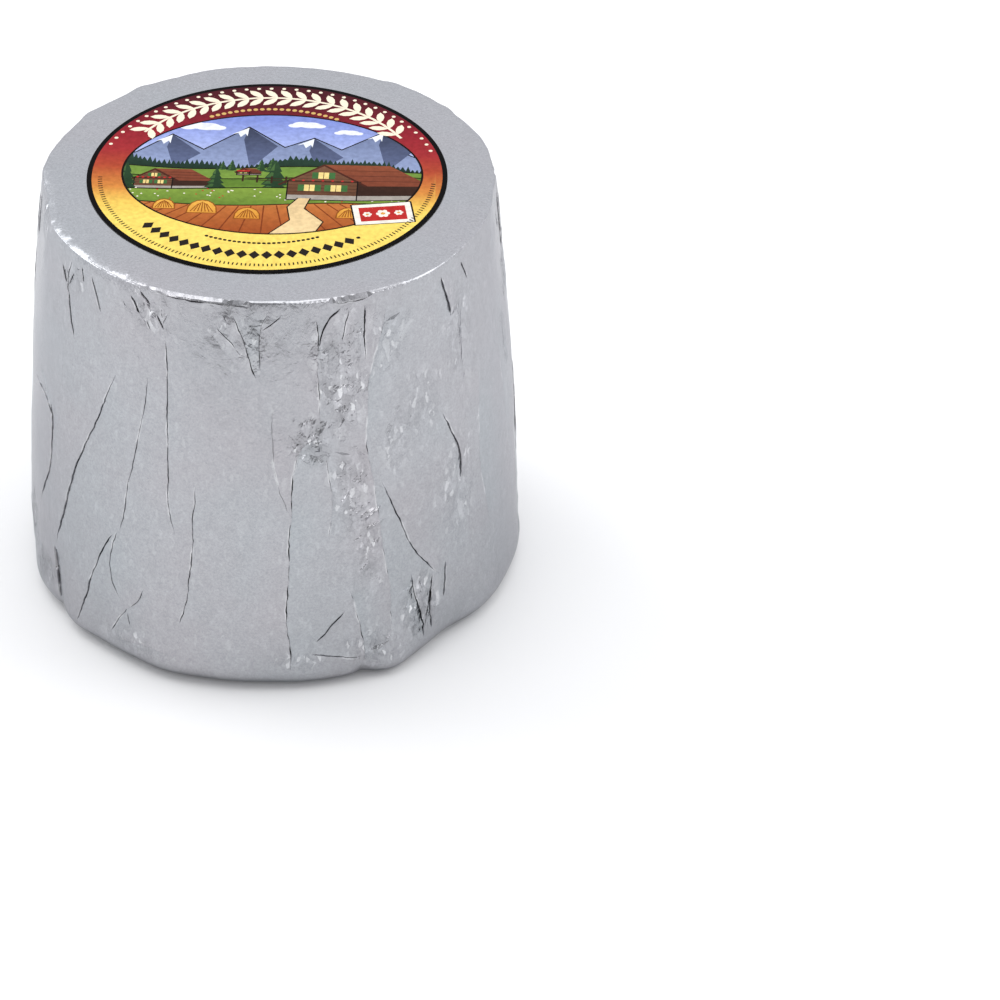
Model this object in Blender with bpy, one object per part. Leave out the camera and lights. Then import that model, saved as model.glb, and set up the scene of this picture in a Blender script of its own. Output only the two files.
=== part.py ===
"""A wheel of hard cheese wrapped in foil, with a round paper label on its top.

The wheel is one closed solid. Its skin is the foil: a drum that narrows towards the top, with
the pleats, tucks, crumples and the gathered edge of the foil as relief. The label is a thin disc.
The origin is under the middle of the wheel, on the surface it stands on. +Z is up, -Y the front.

The skin is laid out flat first, as a strip that runs once round the wheel. Across it goes the
distance round the wall, and up it goes the distance along the outline, from the flat base up the
wall and in over the top. The strip is cut into triangles along the folds, each point is raised
by the relief, and the strip is then wrapped round the wheel and closed at the base and the top.
"""

import math
import random
from dataclasses import dataclass

import bmesh
import bpy
import numpy as np
from mathutils import Vector, noise
from mathutils.geometry import delaunay_2d_cdt

METRES_PER_MM = 0.001

# Sizes of the wheel, in millimetres
HEIGHT = 94.0
RADIUS_LOW = 53.7
RADIUS_MIDDLE = 51.6
RADIUS_TOP = 47.4
BASE_CORNER = 5.0
RIM_ROUNDING = 1.2
STRIP_RADIUS = 51.0
BASE_INNER_RADIUS = 42.0
TOP_INNER_RADIUS = 34.0

# Sizes of the label, in millimetres
LABEL_RADIUS = 37.5
LABEL_THICKNESS = 0.3
LABEL_GAP = 0.3
LABEL_MIDDLE = (-0.5, 1.1)
LABEL_SIDES = 96

# How finely the skin is divided
COLUMNS = 84
FOLD_STEP = 3.0
FOLD_CLEARANCE = 1.3
LIP_HALF_WIDTH = 0.3
WALL_ROWS = (8, 13, 18, 23, 28, 33, 38, 43, 48, 53, 58, 63, 68, 73, 78, 82, 86, 89, 91, 92.4)
TOP_ROWS = (44.5, 41.0, 38.0)
CORNER_STEPS = 4
RIM_STEPS = 3

# The foil's soft waves: how wide and how high, in millimetres
WAVES = ((34.0, 0.32), (13.0, 0.15))
LABEL_MARGIN = 1.5
TUCK_SPAN = (-14.0, 19.0)
TUCK_HEIGHT = 91.9
TUCK_DEPTH = 0.55
TUCK_WIDTH = 0.9

# The unseen back is folded by a rule: its ranges in degrees and its seed
BACK_RANGES = ((74.0, 172.0), (-172.0, -84.0))
BACK_SEED = 11


@dataclass(frozen=True)
class Fold:
    """A fold in the foil, with a lip that stands out on one side of its line.

    path: points (angle from the front in degrees, height in millimetres), from the top down
    lip: how far the lip stands out in millimetres, on the side of the larger angle if positive
    ramp: how far from the line the lip has come down to the wall again, in millimetres
    """

    path: tuple
    lip: float
    ramp: float


@dataclass(frozen=True)
class Patch:
    """A patch of crumpled foil: its middle (degrees, millimetres), half size and roughness."""

    angle: float
    height: float
    half_angle: float
    half_height: float
    depth: float
    grain: float


@dataclass(frozen=True)
class Bulge:
    """Where the gathered foil at the base, or the rim, stands out or tucks in (millimetres)."""

    angle: float
    half_angle: float
    out: float


# The long pleats of the wall, from left to right
PLEATS = (
    Fold(((-75, 54), (-62, 52), (-60, 44), (-62, 35), (-68, 24)), -0.45, 6.0),
    Fold(((-35, 73), (-40, 62), (-49, 44), (-53, 33), (-58, 19), (-56, 6)), -0.70, 10.0),
    Fold(((-26, 76), (-29, 60), (-32, 45), (-35, 33), (-43, 18), (-49, 4)), 0.75, 12.0),
    Fold(((-36, 31), (-38, 25), (-37.5, 19)), 0.35, 4.0),
    Fold(((-25, 90), (-22, 82), (-21, 60), (-21, 45), (-19, 37)), -0.60, 9.0),
    Fold(((-14, 52), (-15, 36), (-17, 24), (-20, 12)), 0.45, 8.0),
    Fold(((-27, 23), (-32, 15), (-36, 9)), -0.45, 5.0),
    Fold(((4, 72), (4, 58), (7, 45)), 0.35, 5.0),
    Fold(((18, 63), (10, 60), (7.5, 45), (7, 33), (6, 19), (7, 4)), 0.65, 9.0),
    Fold(((16, 58), (17, 46), (16, 38)), -0.35, 4.0),
    Fold(((27, 74), (26, 60), (28, 50), (28.5, 36), (31, 23), (31, 11)), -0.85, 9.0),
    Fold(((29, 50), (34, 38), (38, 29), (45, 20)), 0.60, 7.0),
    Fold(((47, 60), (52, 49), (52.5, 41)), 0.50, 6.0),
    Fold(((21, 25), (23, 14), (24.5, 4)), -0.60, 5.0),
    Fold(((36, 24), (38, 14), (39.5, 6)), 0.55, 3.5),
    Fold(((62, 66), (60, 44), (64, 22)), -0.60, 9.0),
)

# The short tucks that gather the foil under the rim
RIM_TUCKS = (
    Fold(((-53, 92.5), (-54, 85), (-50, 74)), -0.45, 4.0),
    Fold(((-44, 91), (-41, 84)), 0.45, 3.5),
    Fold(((-32, 92), (-28, 86.5)), 0.55, 3.0),
    Fold(((-5, 91), (-3, 86), (0, 77)), -0.50, 4.0),
    Fold(((3, 91.5), (1, 87), (1.2, 79)), 0.50, 4.0),
    Fold(((13, 92), (15, 86), (15, 77)), -0.45, 4.0),
    Fold(((20, 92), (17, 86)), 0.50, 3.0),
    Fold(((31, 91), (28.5, 80)), -0.45, 3.5),
    Fold(((49, 91.5), (52, 81)), 0.60, 4.0),
    Fold(((-68, 92), (-70, 83)), 0.40, 4.0),
)

PATCHES = (
    Patch(20.0, 72.0, 7.0, 20.0, 0.55, 4.2),
    Patch(22.0, 46.0, 6.0, 9.0, 0.45, 4.2),
    Patch(12.0, 61.0, 5.0, 5.0, 0.40, 4.0),
    Patch(38.0, 17.0, 7.0, 9.0, 0.60, 4.5),
    Patch(-27.0, 88.0, 7.0, 5.0, 0.55, 4.0),
    Patch(-51.0, 88.0, 6.0, 5.0, 0.40, 4.0),
    Patch(42.0, 60.0, 16.0, 30.0, 0.22, 6.0),
    Patch(26.0, 9.0, 9.0, 7.0, 0.35, 5.0),
    Patch(-29.0, 8.0, 8.0, 3.0, 0.45, 4.5),
)

BASE_BULGES = (
    Bulge(31.0, 5.0, 1.5),
    Bulge(49.0, 9.0, -2.1),
    Bulge(-23.0, 7.0, 0.8),
    Bulge(-50.0, 5.0, 0.8),
    Bulge(-57.0, 2.5, -0.9),
    Bulge(-68.0, 6.0, 0.7),
    Bulge(-84.0, 7.0, -1.2),
    Bulge(1.0, 6.0, -0.4),
    Bulge(24.0, 2.0, -1.0),
    Bulge(88.0, 9.0, 0.6),
    Bulge(118.0, 8.0, -0.6),
    Bulge(143.0, 9.0, 0.6),
    Bulge(169.0, 6.0, -0.6),
    Bulge(-158.0, 8.0, 0.6),
    Bulge(-133.0, 7.0, -0.7),
    Bulge(-108.0, 9.0, 0.5),
)
BASE_BULGE_HEIGHT = 9.0

RIM_BULGES = (
    Bulge(-160.0, 7.0, 0.35),
    Bulge(173.0, 14.0, -0.25),
    Bulge(141.0, 11.0, 0.8),
    Bulge(115.0, 9.0, 0.4),
    Bulge(-112.0, 10.0, -0.25),
    Bulge(-80.0, 9.0, -1.1),
    Bulge(88.0, 8.0, -0.6),
)
RIM_BULGE_HEIGHT = 22.0

FOIL_COLOUR = (0.479, 0.479, 0.515, 1.0)
PAPER_COLOUR = (0.78, 0.50, 0.11, 1.0)

WALL_CURVE = np.polyfit(
    (BASE_CORNER, HEIGHT / 2, HEIGHT), (RADIUS_LOW, RADIUS_MIDDLE, RADIUS_TOP), 2
)


def wall_radius(height):
    """The wall's radius at a height: a parabola through the three radii at the top."""
    return np.polyval(WALL_CURVE, height)


def arc(middle, radius, start, end, steps):
    """Points of an arc about middle, its angles in degrees, without its first point."""
    for step in range(1, steps + 1):
        angle = math.radians(start + (end - start) * step / steps)
        yield middle[0] + radius * math.cos(angle), middle[1] + radius * math.sin(angle)


def outline():
    """The wheel's outline as points (radius, height), one for each row of the skin."""
    corner_middle = (RADIUS_LOW - BASE_CORNER, BASE_CORNER)
    rim_middle = (float(wall_radius(HEIGHT - RIM_ROUNDING)) - RIM_ROUNDING, HEIGHT - RIM_ROUNDING)
    points = [(BASE_INNER_RADIUS, 0.0), (corner_middle[0], 0.0)]
    points += arc(corner_middle, BASE_CORNER, -90, 0, CORNER_STEPS)
    points += [(float(wall_radius(height)), height) for height in WALL_ROWS]
    points.append((rim_middle[0] + RIM_ROUNDING, rim_middle[1]))
    points += arc(rim_middle, RIM_ROUNDING, 0, 90, RIM_STEPS)
    points += [(radius, HEIGHT) for radius in TOP_ROWS]
    points.append((TOP_INNER_RADIUS, HEIGHT))
    return np.array(points)


class Strip:
    """The flat layout of the skin and the way back to the wheel.

    across: distance round the wall, 0 at the front; along: distance along the outline
    """

    def __init__(self):
        self.points = outline()
        steps = np.hypot(*np.diff(self.points, axis=0).T)
        self.rows = np.concatenate(([0.0], np.cumsum(steps)))
        tangents = np.gradient(self.points, self.rows, axis=0)
        tangents /= np.linalg.norm(tangents, axis=1)[:, None]
        self.normals = np.column_stack((tangents[:, 1], -tangents[:, 0]))
        self.half_width = math.pi * STRIP_RADIUS

    def across(self, degrees):
        """The distance round the wall for an angle from the front."""
        return math.radians(degrees) * STRIP_RADIUS

    def along(self, height):
        """The distance along the outline for a height on the wall."""
        wall = slice(1, len(self.points) - len(TOP_ROWS) - 1)
        return float(np.interp(height, self.points[wall, 1], self.rows[wall]))

    def wrap(self, flat, relief, bulge):
        """Turns flat points into space, raised by relief along the normal and by bulge outwards."""
        angle = flat[:, 0] / STRIP_RADIUS
        radius, height = (np.interp(flat[:, 1], self.rows, column) for column in self.points.T)
        outward, upward = (np.interp(flat[:, 1], self.rows, column) for column in self.normals.T)
        radius = radius + relief * outward + bulge
        height = np.maximum(height + relief * upward, 0.0)
        return np.column_stack((radius * np.sin(angle), -radius * np.cos(angle), height))


def smooth_step(value):
    """0 below 0, 1 above 1, and an even S curve between."""
    value = np.clip(value, 0.0, 1.0)
    return value * value * (3 - 2 * value)


def fold_line(strip, fold):
    """The fold's line on the strip, a smooth curve through its points, every few millimetres."""
    points = [Vector((strip.across(angle), strip.along(height))) for angle, height in fold.path]
    ends = [2 * points[0] - points[1]] + points + [2 * points[-1] - points[-2]]
    line = [points[0]]
    for before, start, end, after in zip(ends, ends[1:], ends[2:], ends[3:]):
        steps = max(1, round((end - start).length / FOLD_STEP))
        for step in range(1, steps + 1):
            part = step / steps
            line.append(
                0.5
                * (
                    2 * start
                    + (end - before) * part
                    + (2 * before - 5 * start + 4 * end - after) * part**2
                    + (3 * start - before - 3 * end + after) * part**3
                )
            )
    return np.array(line)


def distance_to_line(flat, line, round_trip):
    """Signed distance of each flat point to a line, and how far along the line it is, 0 to 1."""
    middle = line[:, 0].mean()
    points = flat - np.column_stack(
        (round_trip * np.round((flat[:, 0] - middle) / round_trip), np.zeros(len(flat)))
    )
    lengths = np.hypot(*np.diff(line, axis=0).T)
    starts = np.concatenate(([0.0], np.cumsum(lengths)))
    best = np.full(len(flat), np.inf)
    signed = np.zeros(len(flat))
    progress = np.zeros(len(flat))
    for start, end, length, before in zip(line, line[1:], lengths, starts):
        direction = (end - start) / length
        offset = points - start
        reach = offset @ direction
        held = np.clip(reach, 0.0, length)
        away = np.hypot(*(offset - held[:, None] * direction).T)
        side = direction[0] * offset[:, 1] - direction[1] * offset[:, 0]
        nearer = away < best
        best = np.where(nearer, away, best)
        signed = np.where(nearer, np.copysign(away, side), signed)
        progress = np.where(nearer, (before + held) / starts[-1], progress)
    return signed, progress


def fold_relief(flat, fold, line, round_trip):
    """How far the fold raises the skin: a lip on one side of the line that comes down in a ramp."""
    signed, progress = distance_to_line(flat, line, round_trip)
    lip_side = signed * math.copysign(1.0, fold.lip)
    strength = smooth_step(progress / 0.15) * smooth_step((1 - progress) / 0.15)
    ramp = np.clip(1 - lip_side / fold.ramp, 0.0, 1.0) ** 1.5
    return abs(fold.lip) * strength * np.where(lip_side > 0, ramp, 0.0)


def turned(angle, middle):
    """The difference of two angles in degrees, the short way round."""
    return (angle - middle + 180.0) % 360.0 - 180.0


def noise_at(places, size):
    """Smooth noise of about -1 to 1 whose waves are as wide as size, in millimetres."""
    return np.array([noise.noise(Vector(place) / size) for place in places])


def patch_relief(places, angle, height, patch):
    """The crumples of one patch: sharp ridges that fade out towards the patch's edge."""
    reach = np.hypot(
        turned(angle, patch.angle) / patch.half_angle, (height - patch.height) / patch.half_height
    )
    inside = smooth_step(1.3 - reach)
    ridges = 0.5 - np.abs(noise_at(places * np.array((1.0, 1.0, 0.55)), patch.grain))
    return patch.depth * inside * ridges


def bulge_out(angle, bulges):
    """The sum of the bulges at each angle."""
    total = np.zeros(len(angle))
    for bulge in bulges:
        total += bulge.out * np.exp(-((turned(angle, bulge.angle) / bulge.half_angle) ** 2))
    return total


def relief_and_bulge(strip, flat, folds, lines):
    """The height of the foil's relief and the bulge of its base and rim at each flat point."""
    round_trip = 2 * strip.half_width
    angle = np.degrees(flat[:, 0] / STRIP_RADIUS)
    places = strip.wrap(flat, np.zeros(len(flat)), np.zeros(len(flat)))
    radius = np.hypot(places[:, 0], places[:, 1])
    height = places[:, 2]
    on_top = height > HEIGHT - RIM_ROUNDING / 2

    relief = sum(depth * noise_at(places, width) for width, depth in WAVES)
    for fold, line in zip(folds, lines):
        relief = relief + fold_relief(flat, fold, line, round_trip)
    for patch in PATCHES:
        relief = relief + patch_relief(places, angle, height, patch)
    start, end = TUCK_SPAN
    in_span = smooth_step((angle - start) / 3) * smooth_step((end - angle) / 3)
    relief -= TUCK_DEPTH * in_span * np.exp(-(((height - TUCK_HEIGHT) / TUCK_WIDTH) ** 2))

    above_base = smooth_step((height - 0.5) / BASE_CORNER)
    beside_label = smooth_step((radius - LABEL_RADIUS - LABEL_MARGIN) / 4)
    relief = relief * np.where(on_top, 0.35 * beside_label, above_base)

    low = np.exp(-((height / BASE_BULGE_HEIGHT) ** 2))
    high = np.exp(-(((HEIGHT - height) / RIM_BULGE_HEIGHT) ** 2))
    at_edge = smooth_step((radius - LABEL_RADIUS - LABEL_MARGIN) / 6)
    bulge = low * bulge_out(angle, BASE_BULGES) + high * bulge_out(angle, RIM_BULGES)
    return relief, bulge * at_edge


def back_folds():
    """The folds of the unseen back, which go on at about the spacing of those in front."""
    draw = random.Random(BACK_SEED)
    folds = []
    for start, end in BACK_RANGES:
        angle = start
        while angle < end - 4:
            top, bottom = draw.uniform(52, 88), draw.uniform(4, 26)
            lean, bow = draw.uniform(-7, 7), draw.uniform(-2, 2)
            lean = min(lean, end - angle)
            path = (
                (angle, top),
                (angle + lean / 2 + bow, (top + bottom) / 2),
                (angle + lean, bottom),
            )
            lip = draw.choice((-1, 1)) * draw.uniform(0.45, 0.75)
            folds.append(Fold(path, lip, draw.uniform(6, 11)))
            tuck = angle + draw.uniform(4, 6)
            slant = draw.uniform(-2, 2)
            lip = draw.choice((-1, 1)) * draw.uniform(0.4, 0.6)
            tuck_end = draw.uniform(76, 85)
            folds.append(Fold(((tuck, 92), (tuck + slant, tuck_end)), lip, draw.uniform(3, 4.5)))
            angle += draw.uniform(11, 16)
    return tuple(folds)


def fold_edges(line):
    """The two sides of a fold's line, which meet at its ends, and how they join up."""
    direction = np.gradient(line, axis=0)
    direction /= np.linalg.norm(direction, axis=1)[:, None]
    sideways = np.column_stack((-direction[:, 1], direction[:, 0])) * LIP_HALF_WIDTH
    left = line[1:-1] + sideways[1:-1]
    right = line[1:-1] - sideways[1:-1]
    points = np.concatenate((line[:1], left, line[-1:], right[::-1]))
    joins = [(index, (index + 1) % len(points)) for index in range(len(points))]
    return points, joins


def grid_points(strip, lines):
    """The strip's even grid of points, without those that crowd a fold."""
    columns = np.linspace(-strip.half_width, strip.half_width, COLUMNS + 1)
    across, along = np.meshgrid(columns, strip.rows)
    flat = np.column_stack((across.ravel(), along.ravel()))
    keep = np.ones(len(flat), dtype=bool)
    for line in lines:
        away = np.abs(distance_to_line(flat, line, 2 * strip.half_width)[0])
        keep &= away > FOLD_CLEARANCE
    on_edge = np.abs(np.abs(flat[:, 0]) - strip.half_width) < 1e-6
    on_edge |= (flat[:, 1] == strip.rows[0]) | (flat[:, 1] == strip.rows[-1])
    return flat[keep | on_edge]


def divide(strip, lines):
    """Cuts the strip into triangles along the folds: its points and the triangles' corners."""
    points = grid_points(strip, lines)
    joins = []
    for line in lines:
        sides, side_joins = fold_edges(line)
        joins += [(start + len(points), end + len(points)) for start, end in side_joins]
        points = np.concatenate((points, sides))
    result = delaunay_2d_cdt([Vector(point) for point in points], joins, [], 0, 1e-5, False)
    return np.array([vertex[:] for vertex in result[0]]), result[2]


def join_strip_ends(strip, flat):
    """For each point its own number, or its partner's where the strip's two ends meet."""
    number = list(range(len(flat)))
    at_left = {}
    for index, (across, along) in enumerate(flat):
        if abs(across + strip.half_width) < 1e-4:
            at_left[round(float(along), 3)] = index
    for index, (across, along) in enumerate(flat):
        if abs(across - strip.half_width) < 1e-4:
            number[index] = at_left[round(float(along), 3)]
    return number


def closed_skin(strip, flat, places, triangles):
    """Makes the closed mesh from the wrapped strip, with a flat fan at the base and the top."""
    number = join_strip_ends(strip, flat)
    mesh = bmesh.new()
    vertices = {}
    for index in sorted(set(number)):
        vertices[index] = mesh.verts.new(places[index])
    for triangle in triangles:
        corners = [vertices[number[index]] for index in triangle]
        if len(set(corners)) == 3:
            mesh.faces.new(corners)
    for row, height in ((strip.rows[0], 0.0), (strip.rows[-1], HEIGHT)):
        ring = [index for index in vertices if abs(flat[index][1] - row) < 1e-4]
        ring.sort(key=lambda index: flat[index][0])
        hub = mesh.verts.new((0.0, 0.0, height * METRES_PER_MM))
        for start, end in zip(ring, ring[1:] + ring[:1]):
            mesh.faces.new((vertices[start], vertices[end], hub))
    bmesh.ops.recalc_face_normals(mesh, faces=mesh.faces[:])
    return mesh


def add_object(name, mesh, material):
    """Puts a finished bmesh into the scene as a named object with its material."""
    data = bpy.data.meshes.new(name)
    mesh.to_mesh(data)
    mesh.free()
    data.materials.append(material)
    data.shade_smooth()
    data.set_sharp_from_angle(angle=math.radians(35))
    thing = bpy.data.objects.new(name, data)
    bpy.context.scene.collection.objects.link(thing)
    return thing


def plain_material(name, colour, metallic, roughness):
    """A Principled material of one colour."""
    material = bpy.data.materials.new(name)
    material.use_nodes = True
    shader = material.node_tree.nodes["Principled BSDF"]
    shader.inputs["Base Color"].default_value = colour
    shader.inputs["Metallic"].default_value = metallic
    shader.inputs["Roughness"].default_value = roughness
    return material


def foil_wrapped_cheese():
    """The wheel in its foil, as one closed solid."""
    strip = Strip()
    folds = PLEATS + RIM_TUCKS + back_folds()
    lines = [fold_line(strip, fold) for fold in folds]
    flat, triangles = divide(strip, lines)
    relief, bulge = relief_and_bulge(strip, flat, folds, lines)
    places = strip.wrap(flat, relief, bulge)
    middle = (places.min(axis=0) + places.max(axis=0)) / 2
    places -= np.array((middle[0], middle[1], 0.0))
    mesh = closed_skin(strip, flat, places * METRES_PER_MM, triangles)
    return add_object("foil_wrapped_cheese", mesh, plain_material("foil", FOIL_COLOUR, 1.0, 0.35))


def label():
    """The round paper label, a thin disc over the top."""
    mesh = bmesh.new()
    bmesh.ops.create_cone(
        mesh,
        cap_ends=True,
        segments=LABEL_SIDES,
        radius1=LABEL_RADIUS * METRES_PER_MM,
        radius2=LABEL_RADIUS * METRES_PER_MM,
        depth=LABEL_THICKNESS * METRES_PER_MM,
    )
    disc = add_object("label", mesh, plain_material("printed_paper", PAPER_COLOUR, 0.0, 0.5))
    height = HEIGHT + LABEL_GAP + LABEL_THICKNESS / 2
    disc.location = Vector((*LABEL_MIDDLE, height)) * METRES_PER_MM
    return disc


def main():
    """Clears the scene and builds the wheel and its label."""
    for thing in list(bpy.data.objects):
        bpy.data.objects.remove(thing)
    foil_wrapped_cheese()
    label()


main()
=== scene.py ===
"""Dresses a small wheel of hard cheese in its silver foil, with a printed paper label on top.

Two pieces stand for the two solids of the frame. The foil is one sheet drawn down over the
wheel, folded into pleats and tucks and pressed flat by hand. The label is a round of coated
paper with a landscape in the middle and a border that runs from dark red to yellow. Its border
is set with repeated ornaments, which Geometry Nodes lay round it.

Lengths are in millimetres and angles in degrees where nothing else is said. They are turned
to metres as a mesh is made. An angle round the wheel is counted from its front.
"""

from __future__ import annotations

import logging
import math
import random
from dataclasses import dataclass, field
from enum import Enum
from typing import Any, Iterable, Sequence

import bmesh
import bpy
import numpy as np
from mathutils import Matrix, Vector, noise
from mathutils.geometry import delaunay_2d_cdt

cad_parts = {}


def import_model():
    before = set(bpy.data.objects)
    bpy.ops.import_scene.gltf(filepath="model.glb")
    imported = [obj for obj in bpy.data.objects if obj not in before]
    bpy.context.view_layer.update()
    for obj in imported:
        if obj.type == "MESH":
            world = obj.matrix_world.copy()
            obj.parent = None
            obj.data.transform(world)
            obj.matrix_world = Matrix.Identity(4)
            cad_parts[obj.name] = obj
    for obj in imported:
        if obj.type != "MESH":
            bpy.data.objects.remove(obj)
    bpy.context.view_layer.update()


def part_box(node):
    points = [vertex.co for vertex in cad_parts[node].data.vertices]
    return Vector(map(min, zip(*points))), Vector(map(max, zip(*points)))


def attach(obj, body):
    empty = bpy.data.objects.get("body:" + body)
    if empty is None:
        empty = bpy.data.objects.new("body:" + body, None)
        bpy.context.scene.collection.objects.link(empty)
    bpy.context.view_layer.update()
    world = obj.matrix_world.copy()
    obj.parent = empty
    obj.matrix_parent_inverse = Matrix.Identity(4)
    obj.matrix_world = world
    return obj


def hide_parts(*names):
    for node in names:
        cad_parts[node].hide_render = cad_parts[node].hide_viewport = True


log = logging.getLogger("cheese_wheel")

# One millimetre, in metres
MM = 0.001
# How near two points of a sheet are taken for one
FUSE_MM = 1e-5
# The level at which the noise is read that bends the folds' lines
WANDER_LEVEL = 3.3
# The values between which nearly all of a noise texture lies
MIDDLE_OF_NOISE = (0.3, 0.7)

Point = tuple[float, float]
Outline = tuple[Point, ...]
Colour = tuple[float, float, float, float]
Socket = bpy.types.NodeSocket
Material = bpy.types.Material
Thing = bpy.types.Object
Array = np.ndarray


def linear(hex_colour: str) -> Colour:
    """Turns an sRGB hex colour into the linear colour that a shader takes.

    Args:
        hex_colour: six hex digits after a hash.

    Returns:
        Linear red, green and blue, and an alpha of 1.
    """
    channels = [int(hex_colour[start : start + 2], 16) / 255 for start in (1, 3, 5)]
    red, green, blue = (
        value / 12.92 if value <= 0.04045 else ((value + 0.055) / 1.055) ** 2.4
        for value in channels
    )
    return red, green, blue, 1.0


class NodeKit:
    """Short ways to add nodes to one tree."""

    def __init__(self, tree: bpy.types.NodeTree) -> None:
        """Keeps the tree that gets the nodes."""
        self.tree = tree

    def fill(self, node: bpy.types.Node, inputs: dict[Any, Any]) -> None:
        """Sets or links a node's inputs.

        Args:
            node: the node.
            inputs: for each input's name or number, a value or the output that feeds it.
        """
        for key, value in inputs.items():
            if isinstance(value, Socket):
                self.tree.links.new(value, node.inputs[key])
            else:
                node.inputs[key].default_value = value

    def add(self, kind: str, inputs: dict[Any, Any] | None = None, **settings: Any) -> Any:
        """Adds a node with its settings, values and links.

        Args:
            kind: Blender's name for the kind of node.
            inputs: for each input's name or number, a value or the output that feeds it.
            **settings: the node's own properties.

        Returns:
            The new node's outputs.
        """
        node = self.tree.nodes.new(kind)
        for name, value in settings.items():
            setattr(node, name, value)
        self.fill(node, inputs or {})
        return node.outputs

    def math(self, operation: str, *values: Any, **settings: Any) -> Socket:
        """Adds one sum on numbers and gives its result."""
        inputs = dict(enumerate(values))
        return self.add("ShaderNodeMath", inputs, operation=operation, **settings)[0]

    def mark(self, name: str) -> Any:
        """Reads a mark that the mesh carries at each of its points or corners."""
        return self.add("ShaderNodeAttribute", attribute_name=name)

    def noise(self, where: Socket, width: float, detail: float = 2.0, **more: float) -> Socket:
        """Gives noise of 0 to 1 whose patches are about as wide as width."""
        scale = 1 / (width * MM)
        inputs = {"Vector": where, "Scale": scale, "Detail": detail, **more}
        return self.add("ShaderNodeTexNoise", inputs)["Fac"]

    def spread(self, value: Socket, to: Point, of: Point = (0.0, 1.0)) -> Socket:
        """Turns values within one range into values within another."""
        names = ("From Min", "From Max", "To Min", "To Max")
        inputs = {"Value": value, **dict(zip(names, (*of, *to)))}
        return self.add("ShaderNodeMapRange", inputs)["Result"]

    def blend(self, share: Socket | float, first: Any, second: Any) -> Socket:
        """Goes from a first number to a second as the share goes from 0 to 1."""
        return self.add("ShaderNodeMix", {0: share, 2: first, 3: second}, data_type="FLOAT")[0]

    def tint(self, share: Socket, first: Any, second: Any) -> Socket:
        """Goes from a first colour to a second as the share goes from 0 to 1."""
        return self.add("ShaderNodeMix", {0: share, 6: first, 7: second}, data_type="RGBA")[2]

    def shade(self, colour: Socket, strength: Socket) -> Socket:
        """Makes a colour paler or darker."""
        inputs = {0: colour, "Scale": strength}
        return self.add("ShaderNodeVectorMath", inputs, operation="SCALE")["Vector"]

    def bump(
        self, height: Socket, strength: float, depth: float, over: Socket | None = None
    ) -> Socket:
        """Tilts the surface by a height, depth millimetres deep, over the tilt it has already."""
        inputs = {"Height": height, "Strength": strength, "Distance": depth * MM}
        if over is not None:
            inputs["Normal"] = over
        return self.add("ShaderNodeBump", inputs)["Normal"]


class Paint(NodeKit):
    """A new material under work: its tree, its shader and the place on the piece."""

    def __init__(self, name: str) -> None:
        """Makes the material with a Principled shader."""
        self.material = bpy.data.materials.new(name)
        self.material.use_nodes = True
        super().__init__(self.material.node_tree)
        self.shader = self.tree.nodes["Principled BSDF"]

    def finish(self, inputs: dict[str, Any]) -> Material:
        """Sets the shader's inputs and gives the finished material."""
        self.fill(self.shader, inputs)
        return self.material


def smooth_step(value: Array) -> Array:
    """Gives 0 below 0, 1 above 1, and an even S curve between."""
    value = np.clip(value, 0.0, 1.0)
    return value * value * (3 - 2 * value)


def ridge(away: Array, reach: Any) -> Array:
    """Gives 1 on a line, falling evenly to 0 at its reach on both sides."""
    return np.clip(1 - np.abs(away) / reach, 0.0, 1.0)


def turned(angle: Array, middle: float) -> Array:
    """Gives the difference of angles in degrees from a middle one, the short way round."""
    return (angle - middle + 180.0) % 360.0 - 180.0


def noise_at(places: Array, size: float) -> Array:
    """Gives smooth noise of about -1 to 1 whose waves are as wide as size."""
    return np.array([noise.noise(Vector(place) / size) for place in places])


def taper(progress: Array, share: float) -> Array:
    """Gives 0 at both ends of a line and 1 from a share of its length inwards."""
    return smooth_step(progress / share) * smooth_step((1 - progress) / share)


def lengths_along(line: Array) -> Array:
    """Gives the length of a line up to each of its points."""
    return np.concatenate(([0.0], np.cumsum(np.hypot(*np.diff(line, axis=0).T))))


def sides_of(line: Array) -> Array:
    """Gives the direction to the left of a line at each of its points, one millimetre long."""
    direction = np.gradient(line, axis=0)
    direction /= np.linalg.norm(direction, axis=1)[:, None]
    return np.column_stack((-direction[:, 1], direction[:, 0]))


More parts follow.
